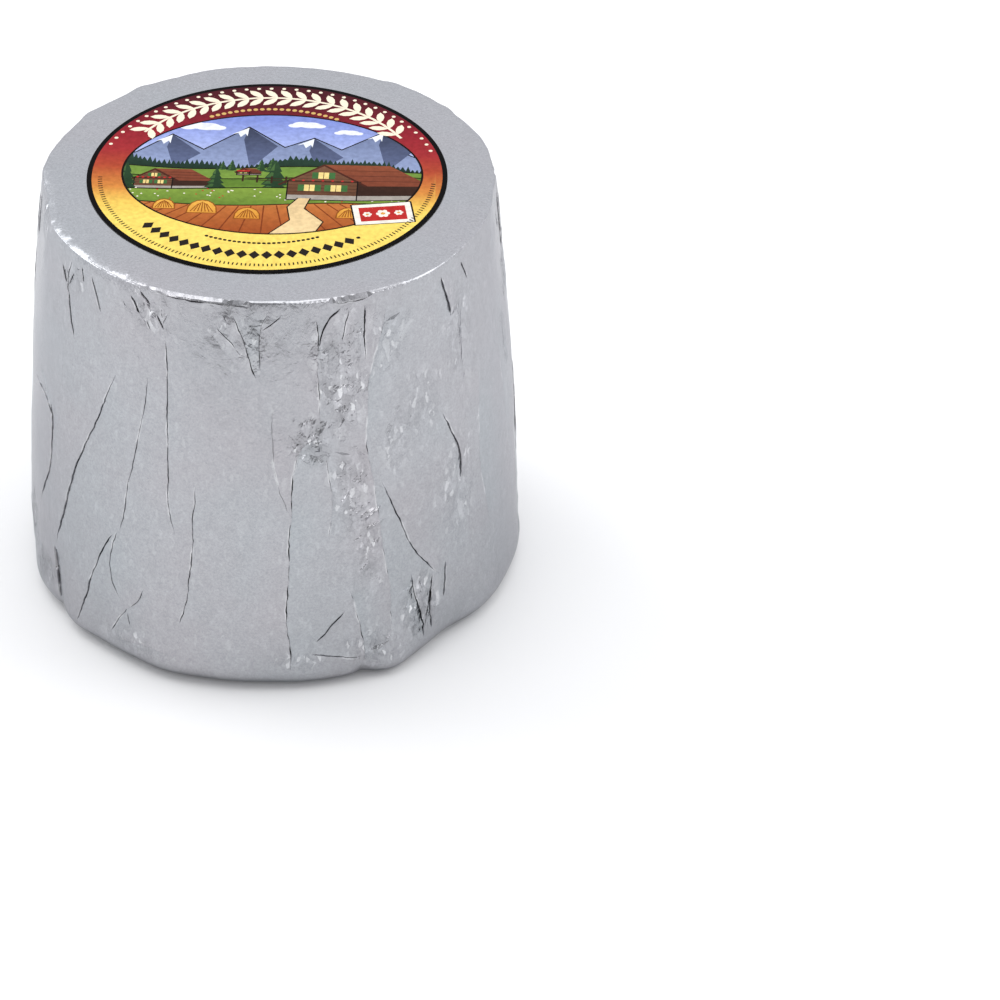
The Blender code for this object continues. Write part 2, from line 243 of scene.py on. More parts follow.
@dataclass(frozen=True)
class FoilFinish:
    """Aluminium foil, rolled thin, pressed on by hand, its dull side out.

    Attributes:
        silver: the colour of the foil where it lies flat.
        grey: a slightly duller, cooler colour that drifts over it in wide clouds; the lean mark
            also shifts the foil toward it or away from it beside folds, as painted reflection.
        pocket: the painted shade deep in a fold, a dark colour for the light lost between the two
            layers.
        highlight_colour: the near-white colour of the painted highlights along folds' edges and on
            glinting facets.
        edge_tint: how much of the light it mirrors when seen at a flat angle.
        roughness: how blurred it mirrors, at least and at most.
        cloud_mm: how wide the clouds are.
        wrinkle_mm: how wide the small wrinkles are that the fingers left.
        wrinkle_depth: how deep they are, in millimetres, and how strongly they show.
        ripple_mm: how wide the finest ripples are, pressed into the foil by the rind.
        ripple_share: how much of the speckle is ripples, the rest being grain.
        grain_mm: the grain of the rolled metal, drawn coarser than it is so that it shows.
        grain_depth: how deep the grain is, in millimetres, and how strongly it shows.
        speckle: how much paler and darker grain and ripples are than the foil, as a share.
        facets_mm: how wide the facets are where the foil is crumpled, coarse and fine.
        facet_stretch: how much lower than it is a facet counts, so that facets stand upright.
        facet_warp_mm: how wide the bends in the facets' edges are.
        facet_bend: how far those edges are bent, in metres.
        facet_edge_shade: how wide the painted shade along a facet's edge is, and how dark it is.
        facet_reflection_tones: how dark the darkest facet's painted reflection is and how bright
            the brightest.
        facet_glints: how brightly the few facets glint that catch the light, as painted highlights.
        glint_chance: between which draws of 0 to 1 a facet goes from dull to glinting.
        facet_slope: how steeply the facets are tilted.
    """

    silver: str = "#AEABAF"
    grey: str = "#A9AEB2"
    pocket: str = "#2E2826"
    highlight_colour: str = "#F4F5F7"
    edge_tint: str = "#E1E1E3"
    roughness: Point = (0.17, 0.30)
    cloud_mm: float = 26.0
    wrinkle_mm: float = 3.2
    wrinkle_depth: Point = (0.3, 0.35)
    ripple_mm: float = 1.1
    ripple_share: float = 0.45
    grain_mm: float = 0.45
    grain_depth: Point = (0.06, 0.20)
    speckle: float = 0.14
    facets_mm: Point = (1.7, 0.7)
    facet_stretch: float = 0.42
    facet_warp_mm: float = 2.5
    facet_bend: float = 0.002
    facet_edge_shade: Point = (0.05, 0.82)
    facet_reflection_tones: Point = (0.84, 1.18)
    facet_glints: Point = (0.30, 0.75)
    glint_chance: Point = (0.93, 0.97)
    facet_slope: float = 0.4

    def crumpled(self, paint: Paint, where: Socket) -> tuple[Socket, Socket, Socket]:
        """Adds the crumpled parts: small upright facets, each with its own tilt and its own painted
        reflection tone, painted shade along their edges and a painted glint on a few.

        Args:
            paint: the foil's material under work.
            where: the place on the foil.

        Returns:
            The painted reflection and edge shade that the colour is multiplied by, how bright a
            facet's painted glint is, and the height of the facets.
        """
        crumple = paint.mark("crumple")["Fac"]
        scale = 1 / (self.facet_warp_mm * MM)
        warp = paint.add("ShaderNodeTexNoise", {"Vector": where, "Scale": scale, "Detail": 2.0})
        place = {0: warp["Color"], 1: (self.facet_bend,) * 3, 2: where}
        warped = paint.add("ShaderNodeVectorMath", place, operation="MULTIPLY_ADD")[0]
        place = {0: warped, 1: (1.0, 1.0, self.facet_stretch)}
        upright = paint.add("ShaderNodeVectorMath", place, operation="MULTIPLY")[0]
        edge_width, edge_shade = self.facet_edge_shade
        tone, rise, glint = 1.0, 0.0, 0.0
        for size, sparkle in zip(self.facets_mm, self.facet_glints):
            cell = {"Vector": upright, "Scale": 1 / (size * MM)}
            colour = paint.add("ShaderNodeTexVoronoi", cell)["Color"]
            edge = paint.add("ShaderNodeTexVoronoi", cell, feature="DISTANCE_TO_EDGE")["Distance"]
            chance = paint.add("ShaderNodeSeparateColor", {"Color": colour})
            # Painted reflection: each facet gets its own lighter or darker tone; painted shade
            # darkens the line along its edges.
            own_reflection = paint.spread(chance["Red"], self.facet_reflection_tones)
            fold = paint.spread(edge, (edge_shade, 1.0), (0.0, edge_width))
            tone = paint.math("MULTIPLY", paint.math("MULTIPLY", own_reflection, fold), tone)
            tilt = paint.spread(chance["Green"], (-size, size))
            rise = paint.math("MULTIPLY_ADD", edge, tilt, rise)
            # Painted highlight: a few facets glint toward the highlight colour.
            spark = paint.spread(chance["Blue"], (0.0, sparkle), self.glint_chance)
            glint = paint.math("MAXIMUM", spark, glint)
        reflected_and_shaded = paint.blend(crumple, 1.0, tone)
        return reflected_and_shaded, paint.math("MULTIPLY", glint, crumple), paint.math("MULTIPLY", rise, crumple)

    def make(self) -> Material:
        """Builds the satin foil: soft grey reflections and dark, thin creases, helped by painted
        shade in the creases, painted highlights on fold edges and facets, and painted reflections
        on panels and facets.

        Returns:
            The material.
        """
        paint = Paint("rolled_aluminium_foil")
        where = paint.add("ShaderNodeTexCoord")["Object"]
        grain = paint.noise(where, self.grain_mm)
        clouds = paint.noise(where, self.cloud_mm)
        # The clouds are the foil's own tone; the lean mark adds painted reflection, duller or
        # brighter beside a fold by which way its panel leans.
        tone = paint.math("ADD", clouds, paint.mark("lean")["Fac"], use_clamp=True)
        skin = paint.tint(tone, linear(self.silver), linear(self.grey))
        ripples = paint.noise(where, self.ripple_mm, 3.0, Distortion=1.6)
        texture = paint.blend(self.ripple_share, grain, ripples)
        speckle = paint.spread(texture, (1 - self.speckle, 1 + self.speckle), MIDDLE_OF_NOISE)
        facet_reflection, facet_glint, facet_rise = self.crumpled(paint, where)
        rolled = paint.shade(skin, paint.math("MULTIPLY", speckle, facet_reflection))
        # Painted highlights: fold edges and a few crumpled facets are tinted toward a near-white
        # colour.
        highlight_share = paint.math("MAXIMUM", paint.mark("edge_highlight")["Fac"], facet_glint)
        highlighted = paint.tint(highlight_share, rolled, linear(self.highlight_colour))
        # Painted shade: deep in folds the foil is darkened toward the pocket colour.
        crease_shaded = paint.tint(paint.mark("crease_shade")["Fac"], highlighted, linear(self.pocket))

        wrinkles = paint.noise(where, self.wrinkle_mm, 3.0, Roughness=0.55, Distortion=0.8)
        depth, strength = self.wrinkle_depth
        soft = paint.bump(wrinkles, strength, depth)
        broken = paint.bump(facet_rise, 1.0, self.facet_slope, soft)
        depth, strength = self.grain_depth
        return paint.finish(
            {
                "Base Color": crease_shaded,
                "Metallic": 1.0,
                "Specular Tint": linear(self.edge_tint),
                "Roughness": paint.spread(grain, self.roughness),
                "Normal": paint.bump(grain, strength, depth, broken),
            }
        )


@dataclass(frozen=True)
class PrintFinish:
    """Coated label paper, printed in several inks, with a thin varnish.

    Attributes:
        mottle_mm: how wide the unevenness of the ink is.
        mottle: how strong the ink is where it took least and most.
        fibre_mm: how wide the paper's fibres show through the varnish.
        fibre_depth: how deep they are, in millimetres, and how strongly they show.
        roughness: how dull the varnish is.
        gloss: how much light it mirrors.
    """

    mottle_mm: float = 1.1
    mottle: Point = (0.72, 0.94)
    fibre_mm: float = 0.35
    fibre_depth: Point = (0.03, 0.15)
    roughness: float = 0.5
    gloss: float = 0.02

    def make(self) -> Material:
        """Builds the printed paper: the inks from the print mark, a little mottled.

        Returns:
            The material.
        """
        paint = Paint("printed_coated_paper")
        where = paint.add("ShaderNodeTexCoord")["Object"]
        mottle = paint.noise(where, self.mottle_mm, 4.0)
        strength = paint.spread(mottle, self.mottle, MIDDLE_OF_NOISE)
        depth, show = self.fibre_depth
        return paint.finish(
            {
                "Base Color": paint.shade(paint.mark("print")["Color"], strength),
                "Roughness": self.roughness,
                "Specular IOR Level": self.gloss,
                "Normal": paint.bump(paint.noise(where, self.fibre_mm), show, depth),
            }
        )


@dataclass(frozen=True)
class InkFinish:
    """One ink pressed a little into the paper, for the border's repeated ornaments.

    Attributes:
        name: the ink's name.
        colour: its colour.
        metallic: 1 for bronze powder, 0 for plain ink.
        roughness: how dull the dried ink is.
        gloss: how much light it mirrors.
        speck_mm: how wide the specks are where the ink took unevenly.
        speck_tone: how dark they are beside the ink.
    """

    name: str
    colour: str
    metallic: float = 0.0
    roughness: float = 0.45
    gloss: float = 0.05
    speck_mm: float = 0.5
    speck_tone: float = 0.8

    def make(self) -> Material:
        """Builds the ink, a little uneven in its colour as printed ink is.

        Returns:
            The material.
        """
        paint = Paint(self.name)
        where = paint.add("ShaderNodeTexCoord")["Object"]
        ink = linear(self.colour)
        darker = (*(self.speck_tone * channel for channel in ink[:3]), 1.0)
        return paint.finish(
            {
                "Base Color": paint.tint(paint.noise(where, self.speck_mm), ink, darker),
                "Metallic": self.metallic,
                "Roughness": self.roughness,
                "Specular IOR Level": self.gloss,
            }
        )


@dataclass(frozen=True)
class StudioFinish:
    """A plain painted studio floor, matt and nearly white."""

    colour: str = "#EFEFEF"
    roughness: float = 0.9

    def make(self) -> Material:
        """Builds the floor's paint, one even colour as the picture's ground is."""
        paint = Paint("white_studio_paint")
        return paint.finish({"Base Color": linear(self.colour), "Roughness": self.roughness})


@dataclass(frozen=True)
class Fold:
    """A fold in the foil: a line where one layer turns under, with a lip on one side.

    A fold without a pocket is a soft ridge, or a dent if its lip is negative.

    Attributes:
        path: points (angle from the front in degrees, height in millimetres), in order.
        lip: how far the lip stands out, in millimetres; the lip is on the left of the path
            as one follows it if this is positive, which is the larger angle on the way down.
        ramp: how far from the line the lip has come down to the wall again.
        gap: the width of the dark pocket along the line, at its start and its end.
    """

    path: tuple[Point, ...]
    lip: float
    ramp: float
    gap: Point = (0.0, 0.0)

    @property
    def has_pocket(self) -> bool:
        """Whether the foil turns under itself here."""
        return max(self.gap) > 0


@dataclass(frozen=True)
class Patch:
    """A patch of crumpled foil, made of small flat facets that meet in sharp edges.

    Attributes:
        angle: the angle of its middle from the front.
        height: the height of its middle.
        half_angle: half its width.
        half_height: half its height.
        depth: how far its facets' corners stand out or in.
        facet: how wide a facet is.
    """

    angle: float
    height: float
    half_angle: float
    half_height: float
    depth: float
    facet: float


@dataclass(frozen=True)
class Fan:
    """A few fine ribs side by side, where the foil was drawn together.

    Attributes:
        angle: the angle of its middle, in degrees from the front.
        height: the height of its middle.
        count: how many ribs it has.
        step: how far apart they are.
        length: how long a rib is.
        slope: how far the ribs are turned from upright, in degrees, clockwise.
        spread: how much more each rib is turned than the last.
        lip: how far a rib stands out.
    """

    angle: float
    height: float
    count: int
    step: float
    length: float
    slope: float
    spread: float
    lip: float


@dataclass(frozen=True)
class Bulge:
    """Where the edge of the wheel stands out or tucks in.

    Attributes:
        angle: its middle, in degrees from the front.
        half_angle: half its width.
        out: how far it stands out.
    """

    angle: float
    half_angle: float
    out: float


LONG_PLEATS = (
    Fold(((-75, 54), (-62, 52), (-60, 44), (-62, 35), (-68, 24)), -0.15, 6, (0.10, 0.25)),
    Fold(((-35, 73), (-40, 62), (-49, 44), (-53, 33), (-58.2, 18)), -0.22, 10, (0.08, 0.4)),
    Fold(((-58.6, 18.5), (-57.2, 12.4), (-57.3, 4.2)), -0.35, 4, (0.4, 1.1)),
    Fold(
        ((-26, 75.4), (-27.3, 65.7), (-29.2, 58), (-31.5, 48), (-33.8, 34.8), (-34.9, 32)),
        -0.08,
        9,
        (0.12, 0.24),
    ),
    Fold(((-34.6, 34), (-36.9, 26.5), (-37, 20.8), (-34.4, 16.7)), -0.08, 4, (0.2, 0.1)),
    Fold(
        ((-35.4, 33.6), (-39.4, 26.9), (-42.8, 19.7), (-46.3, 9.9), (-48.4, 3.2)),
        -0.15,
        7,
        (0.25, 0.42),
    ),
    Fold(((-21.8, 85.2), (-21.5, 78), (-21, 60), (-21, 45), (-19, 37)), -0.15, 9, (0.26, 0.1)),
    Fold(
        ((-14.3, 52), (-14.7, 44.8), (-15.3, 34.8), (-16.6, 24.4), (-19, 14)),
        -0.15,
        8,
        (0.12, 0.25),
    ),
    Fold(((-27.8, 22), (-29.2, 18), (-32.4, 14.9), (-37, 7)), -0.20, 4, (0.12, 0.2)),
    Fold(((-32.2, 14.2), (-31.6, 11)), -0.08, 2, (0.12, 0.12)),
    Fold(((4, 72), (4, 58), (7, 45)), 0.12, 5, (0.08, 0.12)),
    Fold(((18, 63), (10, 60), (7.5, 45), (7, 33), (6, 19), (7, 4)), -0.35, 9, (0.3, 0.28)),
    Fold(((16, 58), (17, 46), (16, 38)), -0.15, 4, (0.12, 0.12)),
    Fold(
        ((33, 92), (31, 84.6), (28.9, 80), (26.8, 72), (25.8, 60))
        + ((27.3, 50), (28.9, 35), (30.4, 24), (30.6, 14), (32, 8)),
        -0.35,
        8,
        (0.3, 0.2),
    ),
    Fold(((29, 50), (34, 38), (38, 29), (45, 20)), 0.32, 7, (0.2, 0.2)),
    Fold(((47, 60), (52, 49), (52.5, 41)), 0.25, 6, (0.12, 0.15)),
    Fold(((21, 25), (23, 14), (24.5, 4)), -0.32, 5, (0.12, 0.35)),
    Fold(((36, 24), (38, 14), (39.5, 6)), 0.32, 3.5, (0.15, 0.3)),
    Fold(((62, 66), (60, 44), (64, 22)), -0.28, 9, (0.15, 0.2)),
)

RIM_TUCKS = (
    Fold(((-52.5, 92), (-54, 85), (-50, 74)), -0.12, 4, (0.22, 0.12)),
    Fold(((-56.8, 89), (-54.4, 85.5)), -0.12, 3, (0.2, 0.15)),
    Fold(((-51.5, 89), (-53.6, 85.5)), -0.12, 2, (0.15, 0.15)),
    Fold(((-44.6, 91), (-43, 88.5), (-41, 84.2)), -0.15, 3.5, (0.15, 0.45)),
    Fold(((-31.8, 91), (-29, 87.6)), -0.20, 2, (0.35, 0.6)),
    Fold(((-29.3, 92.5), (-26.2, 90.2)), -0.20, 1.5, (0.4, 0.65)),
    Fold(((-5, 91), (-3, 86), (0, 77)), -0.20, 4, (0.15, 0.25)),
    Fold(((3, 91.5), (1, 87), (1.2, 79)), 0.22, 4, (0.25, 0.15)),
    Fold(((14.6, 90.5), (15.2, 84), (14.9, 71.5), (15, 64)), -0.20, 5, (0.35, 0.1)),
    Fold(((21, 91.6), (18.5, 90), (16.3, 87), (15.4, 83.5)), 0.25, 3, (0.3, 0.3)),
    Fold(((27, 91.4), (26.6, 87), (26.4, 79)), 0.20, 3, (0.35, 0.1)),
    Fold(((49, 91.5), (52, 81)), 0.30, 4, (0.2, 0.3)),
    Fold(((-68, 92), (-70, 83)), 0.15, 4, (0.15, 0.15)),
)

FINE_TUCKS = (
    Fold(((-27, 93), (-14, 93), (-1, 93)), 0.06, 0.8, (0.3, 0.55)),
    Fold(((19, 92.9), (23, 92.9), (28, 93)), 0.05, 0.4, (0.1, 0.35)),
    Fold(((-24.4, 88.6), (-22.3, 85.6)), -0.15, 1.5, (0.3, 0.55)),
    Fold(((-26.9, 86.8), (-25.8, 84.6)), -0.10, 1.2, (0.25, 0.35)),
    Fold(((-21.6, 88.8), (-22.6, 86.6)), -0.08, 1, (0.12, 0.2)),
    Fold(((-48.5, 91.8), (-47.5, 88.5)), -0.12, 2, (0.12, 0.15)),
    Fold(((-9, 88), (-4.6, 83.5)), -0.12, 2, (0.15, 0.15)),
    Fold(((-7.5, 91), (-6.5, 89.2)), 0.12, 1.5, (0.25, 0.2)),
    Fold(((6.5, 91), (1.6, 88)), 0.12, 2, (0.2, 0.15)),
    Fold(((23, 90.8), (21, 84)), 0.16, 2, (0.15, 0.12)),
    Fold(((57.5, 91.2), (59.5, 86.5)), 0.15, 2, (0.15, 0.2)),
    Fold(((42.5, 22), (41, 14), (42, 7)), 0.20, 3, (0.15, 0.2)),
    Fold(((46.5, 23), (45.5, 14)), 0.20, 3, (0.15, 0.2)),
)

SOFT_RIDGES = (
    Fold(((-35, 8.2), (-32.6, 6.8), (-26.5, 7.4), (-21.4, 6.9)), 0.20, 2.5, (0.02, 0.02)),
    Fold(((12.5, 7.8), (22, 6.9)), 0.30, 2),
    Fold(((26, 22), (19, 20.5)), -0.20, 2),
    Fold(((20.5, 39), (21.5, 27), (20, 17)), 0.25, 1),
    Fold(((19.5, 19.5), (16.7, 16.6), (12.5, 12.7)), 0.20, 2, (0.12, 0.12)),
    Fold(((11.5, 9.6), (17, 8.2), (23, 7)), -0.20, 2, (0.15, 0.12)),
    Fold(((15.8, 35), (16.5, 24)), -0.20, 1),
    Fold(((30, 57), (33.5, 64), (36, 66)), 0.25, 1),
    Fold(((38, 88), (36, 72), (37.5, 60)), 0.30, 1.5),
    Fold(((57, 84), (56, 66), (59, 52)), -0.30, 1.5),
    Fold(((-44, 74), (-31, 78), (-27, 75)), 0.12, 1),
    Fold(((-70, 58), (-64, 55), (-60, 46)), 0.20, 0.8),
    Fold(((-12, 44), (-8, 30)), 0.08, 1.5),
    Fold(((-5, 66), (-4, 50)), -0.08, 1.5),
)

CRUMPLES = tuple(
    Patch(*row)
    for row in (
        (20, 76, 6.5, 15, 0.32, 1.2), (22, 50, 5, 14, 0.27, 1.2), (13, 62, 5, 6.5, 0.32, 0.9),
        (25.5, 32, 3.5, 9, 0.26, 1.1), (39, 16, 6, 9, 0.41, 1.7), (-26, 88, 7.5, 4, 0.26, 1),
        (-52, 88.5, 6, 4.5, 0.21, 1.1), (-72, 91, 7, 3.5, 0.26, 1.2), (0, 85, 4, 6.5, 0.21, 1.1),
        (-8, 87, 4, 3.5, 0.17, 1.1), (33, 82, 6, 9, 0.20, 1.6), (41, 66, 6, 9, 0.20, 1.6),
        (33, 56, 5, 6, 0.22, 1.4), (55, 78, 6, 12, 0.20, 2), (51, 40, 6, 14, 0.20, 2),
        (26, 9, 7, 5, 0.34, 1.6), (10, 8, 7, 3, 0.21, 1.6), (-30, 7, 8, 3, 0.26, 1.5),
        (-76, 16, 6, 8, 0.30, 1.8), (-64, 10, 6, 5, 0.30, 1.6),
    )
)

FANS = tuple(
    Fan(*row)
    for row in (
        (20, 80, 5, 2, 9, -10, 3, 0.16), (12.5, 66, 4, 1.6, 4, 10, 5, 0.14),
        (38, 62, 5, 2, 9, 62, 5, 0.10), (26, 42, 5, 1.2, 6, 60, 4, 0.18),
        (37, 14, 5, 1.8, 10, 4, 3, 0.26), (-50, 84, 4, 1.8, 7, 12, 6, 0.14),
        (54, 68, 4, 3.2, 11, 30, 8, 0.09), (110, 70, 4, 3.2, 11, 20, 8, 0.09),
        (-120, 60, 4, 3.2, 11, -20, 8, 0.09), (160, 40, 4, 3.2, 11, 10, 8, 0.09),
    )
)

# The length of a short fold, and how far its pocket is open at least
SHORT_FOLD = 12.0
SHORT_FOLD_OPENING = 0.6

# Levels, and the lengths in millimetres and heights of the waves along a fold
OPENING_SWING = (0.55, ((14.5, 0.40), (5.3, 0.30), (2.6, 0.15)))
GLINT_SWING = (0.0, ((17.0, 1.0), (4.1, 0.5)))

BASE_BULGES = tuple(
    Bulge(*row)
    for row in (
        (31, 5, 1.5), (49, 9, -2.1), (-23, 7, 0.8), (-50, 5, 0.8), (-57, 2.5, -0.9), (-68, 6, 0.7),
        (-84, 7, -1.2), (1, 6, -0.4), (24, 2, -1), (88, 9, 0.6), (118, 8, -0.6), (143, 9, 0.6),
        (169, 6, -0.6), (-158, 8, 0.6), (-133, 7, -0.7), (-108, 9, 0.5),
    )
)

RIM_BULGES = tuple(
    Bulge(*row)
    for row in (
        (-6, 20, -0.8), (44, 13, 1), (-160, 7, 0.35), (-141, 3, 0.55), (-132, 4, -0.35),
        (-122, 3, 0.45), (173, 14, -0.25), (149, 2.5, 0.40), (141, 9, 0.6), (130, 2.5, 0.50),
        (115, 9, 0.4), (-112, 10, -0.25), (-80, 9, -1.1), (88, 8, -0.6),
    )
)


@dataclass(frozen=True)
class FoldLine:
    """A fold's line on the flat strip, worked out point by point.

    Attributes:
        fold: the fold that it belongs to.
        points: the line's points on the strip.
        progress: how far along the line each point is, from 0 to 1.
        length: the line's whole length.
    """

    fold: Fold
    points: Array
    progress: Array
    length: float

    def swing(self, progress: Array, level: float, waves: Sequence[Point], phase: int) -> Array:
        """Adds up waves along the line, whose phases are the line's own.

        Args:
            progress: places along the line, from 0 to 1.
            level: what the waves are added to.
            waves: each wave's length in millimetres and its height.
            phase: the first wave's phase, in the line's own steps; the next has one more.

        Returns:
            The sum at each place.
        """
        step = float(self.points[0].sum())
        total = np.full(len(progress), level)
        for number, (length, height) in enumerate(waves, phase):
            total += height * np.sin(2 * math.pi * progress * self.length / length + number * step)
        return total

    def opening(self, progress: Array) -> Array:
        """How far the pocket is open along the line, as it widens and closes by turns."""
        least = SHORT_FOLD_OPENING if self.length < SHORT_FOLD else 0.0
        return np.clip(self.swing(progress, *OPENING_SWING, 1), least, 1.0)

    def glint(self, progress: Array) -> Array:
        """How bright the painted highlight on the fold's edge is, in short stretches along the
        line.
        """
        return np.clip(self.swing(progress, *GLINT_SWING, 4), 0.0, 1.0)

    def half_gap(self, progress: Array) -> Array:
        """Half the width of the dark pocket, which closes to nothing at both ends."""
        start, end = self.fold.gap
        width = start + (end - start) * progress
        return width / 2 * np.sqrt(taper(progress, 0.12)) * self.opening(progress)

    def strength(self, progress: Array) -> Array:
        """How fully the fold stands out along its line, from 0 at its ends to 1."""
        return taper(progress, 0.15)


@dataclass(frozen=True)
class FoldSection:
    """How the foil lies across a fold with a pocket, the same for all folds.

    Lengths are in millimetres. Those that hang on the lip or the pocket are shares of it.

    Attributes:
        least_half_gap: half the pocket's width where it is all but shut.
        hollow: how hollow the lip's slope back to the wall is; 1 is straight.
        dip: how deep the foil dips on the other side, as a share of the lip.
        dip_width: how wide that dip is.
        depth: how deep the pocket is, as a share of half its width.
        most_depth: how deep it is at most.
        shade: how dark the painted shade in the pocket is.
        shade_width: how far that painted shade reaches, as a share of half the pocket's width.
        highlight: how bright the painted highlight along a fold's edge is.
        highlight_width: how wide it is to each side.
        lean: how much duller or brighter the foil beside the fold is painted for each millimetre of
            lip, a painted reflection of which way its panel leans.
    """

    least_half_gap: float = 0.02
    hollow: float = 1.5
    dip: float = 0.25
    dip_width: float = 1.2
    depth: float = 1.8
    most_depth: float = 0.6
    shade: float = 0.9
    shade_width: float = 1.1
    shine: float = 0.6
    highlight_width: float = 0.25
    lean: float = 0.6

    def across(self, line: FoldLine, signed: Array, progress: Array) -> list[Array]:
        """Works out the fold's relief and marks at points beside its line.

        Args:
            line: the fold's line.
            signed: how far each point is from the line, positive on its left.
            progress: how far along the line each is, from 0 to 1.

        Returns:
            The relief, the painted shade of the pocket, the painted highlight on the edge, and the
            painted reflection of the lean.
        """
        fold = line.fold
        strength = line.strength(progress)
        half = np.maximum(line.half_gap(progress), self.least_half_gap)
        lip_side = signed * math.copysign(1.0, fold.lip)
        rise = np.clip(lip_side / half, 0.0, 1.0)
        fall = np.clip(1 - (lip_side - half) / fold.ramp, 0.0, 1.0) ** self.hollow
        lip = abs(fold.lip) * rise * fall
        dip = self.dip * abs(fold.lip) * np.exp(-np.abs(lip_side) / self.dip_width) * (lip_side < 0)
        pocket = np.minimum(self.depth * half, self.most_depth) * ridge(signed, half)
        # Painted shade: dark in the pocket and just beside it.
        shade = np.clip(self.shade_width - np.abs(signed) / half, 0.0, 1.0)
        # Painted highlight: a thin bright line along the lip's edge.
        shine = line.glint(progress) * ridge(lip_side - half, self.highlight_width)
        # Painted reflection: the panels on the two sides of the fold are tinted duller and
        # brighter, as if they mirrored differently.
        lean = fold.lip * ridge(signed, fold.ramp) * np.where(signed > 0, -1.0, 1.0)
        relief = lip - dip - pocket
        marks = (self.shade * shade, self.shine * shine, self.lean * lean)
        return [strength * each for each in (relief, *marks)]


@dataclass
class FoilWrap:
    """The sheet of foil that wraps the wheel, as one closed skin.

    The skin is laid out flat, as a strip that runs once round the wheel. Across it goes the
    distance round the wall, and up it the distance along the outline, from the flat base up
    the wall and in over the top. It is cut into triangles along the folds, raised by the
    relief, wrapped round the wheel and closed at the base and under the label.

    Attributes:
        height: the wheel's height.
        radius_low: the wall's radius just above the base's rounded corner.
        radius_middle: its radius half way up.
        radius_top: its radius at the rim.
        base_corner: the radius of the corner between base and wall.
        rim_rounding: the radius of the crisp edge at the top.
        soft_rim: the angles between which the rim is pressed rounder, and by how much.
        strip_radius: the radius at which the strip has the wheel's true width.
        base_inner: the radius inside which the base is one flat face.
        top_inner: the radius inside which the top is one flat face, under the label.
        label_radius: the radius of the label that covers the top.
        spacing: how far apart the skin's points are on plain foil.
        waves: how wide and how high the foil's soft waves are.
        wander: how wide and how high the bends are by which a fold's line wanders.
        line_step: how far apart the points of a fold's line are.
        lip_step: how far outside its pocket the points of its lip are.
        base_bulge_height: how far up the wall the bulges of the base reach.
        rim_bulge_height: how far down the wall the bulges of the rim reach.
        back_ranges: the angles of the unseen back, which a rule folds.
        back_seed: the seed of that rule.
        rim_rows: how many rows of points the rim's rounding has.
        top_rows: how many rows the top has from the rim to the flat face.
        sharp_angle: the angle in degrees from which an edge of the skin is drawn sharp.
        section: how the foil lies across a fold.
        finish: the foil's looks.
    """

    height: float = 94.0
    radius_low: float = 53.7
    radius_middle: float = 51.6
    radius_top: float = 47.4
    base_corner: float = 5.0
    rim_rounding: float = 0.7
    soft_rim: tuple[float, float, float] = (-95.0, -22.0, 0.50)
    strip_radius: float = 51.0
    base_inner: float = 42.0
    top_inner: float = 34.0
    label_radius: float = 37.5
    spacing: float = 1.0
    waves: tuple[Point, ...] = ((34.0, 0.32), (13.0, 0.15), (5.0, 0.03))
    wander: tuple[Point, ...] = ((7.0, 0.45), (1.7, 0.25))
    line_step: float = 0.75
    lip_step: float = 0.35
    base_bulge_height: float = 9.0
    rim_bulge_height: float = 22.0
    back_ranges: tuple[Point, ...] = ((74.0, 172.0), (-172.0, -84.0))
    back_seed: int = 11
    rim_rows: int = 8
    top_rows: int = 10
    sharp_angle: float = 13.0
    section: FoldSection = field(default_factory=FoldSection)
    finish: FoilFinish = field(default_factory=FoilFinish)

    def __post_init__(self) -> None:
        """Works out the outline, the strip's rows and the folds."""
        self.wall_curve = np.polyfit(
            (self.base_corner, self.height / 2, self.height),
            (self.radius_low, self.radius_middle, self.radius_top),
            2,
        )
        self.outline = self.make_outline()
        self.rows = lengths_along(self.outline)
        tangents = np.gradient(self.outline, self.rows, axis=0)
        tangents /= np.linalg.norm(tangents, axis=1)[:, None]
        self.normals = np.column_stack((tangents[:, 1], -tangents[:, 0]))
        self.half_width = math.pi * self.strip_radius
        folds = LONG_PLEATS + RIM_TUCKS + FINE_TUCKS + SOFT_RIDGES + self.back_folds()
        folds += self.fan_ribs(FANS)
        self.lines = [self.fold_line(fold) for fold in folds]
        self.patches = CRUMPLES + self.back_crumples()

    def wall_radius(self, height: float) -> float:
        """The wall's radius at a height, on a parabola through the three radii."""
        return float(np.polyval(self.wall_curve, height))

    def make_outline(self) -> Array:
        """Follows the wheel's outline from the base, up the wall and in over the top.

        Returns:
            Points (radius, height), one for each row of the skin.
        """
        corner = (self.radius_low - self.base_corner, self.base_corner)
        rim_height = self.height - self.rim_rounding
        rim = (self.wall_radius(rim_height) - self.rim_rounding, rim_height)
        points = [(self.base_inner, 0.0), (45.5, 0.0), (corner[0], 0.0)]
        points += self.arc(corner, self.base_corner, -90, 0, 10)
        rows = round((rim_height - self.base_corner) / self.spacing)
        for row in range(1, rows):
            height = self.base_corner + (rim_height - self.base_corner) * row / rows
            points.append((self.wall_radius(height), height))
        points.append((rim[0] + self.rim_rounding, rim_height))
        points += self.arc(rim, self.rim_rounding, 0, 90, self.rim_rows)
        across_top = rim[0] - self.top_inner
        for row in range(1, self.top_rows + 1):
            points.append((rim[0] - across_top * row / self.top_rows, self.height))
        return np.array(points)

    @staticmethod
    def arc(middle: Point, radius: float, start: float, end: float, steps: int) -> Iterable[Point]:
        """Gives the points of an arc about middle, angles in degrees, without the first."""
        for step in range(1, steps + 1):
            angle = math.radians(start + (end - start) * step / steps)
            yield middle[0] + radius * math.cos(angle), middle[1] + radius * math.sin(angle)

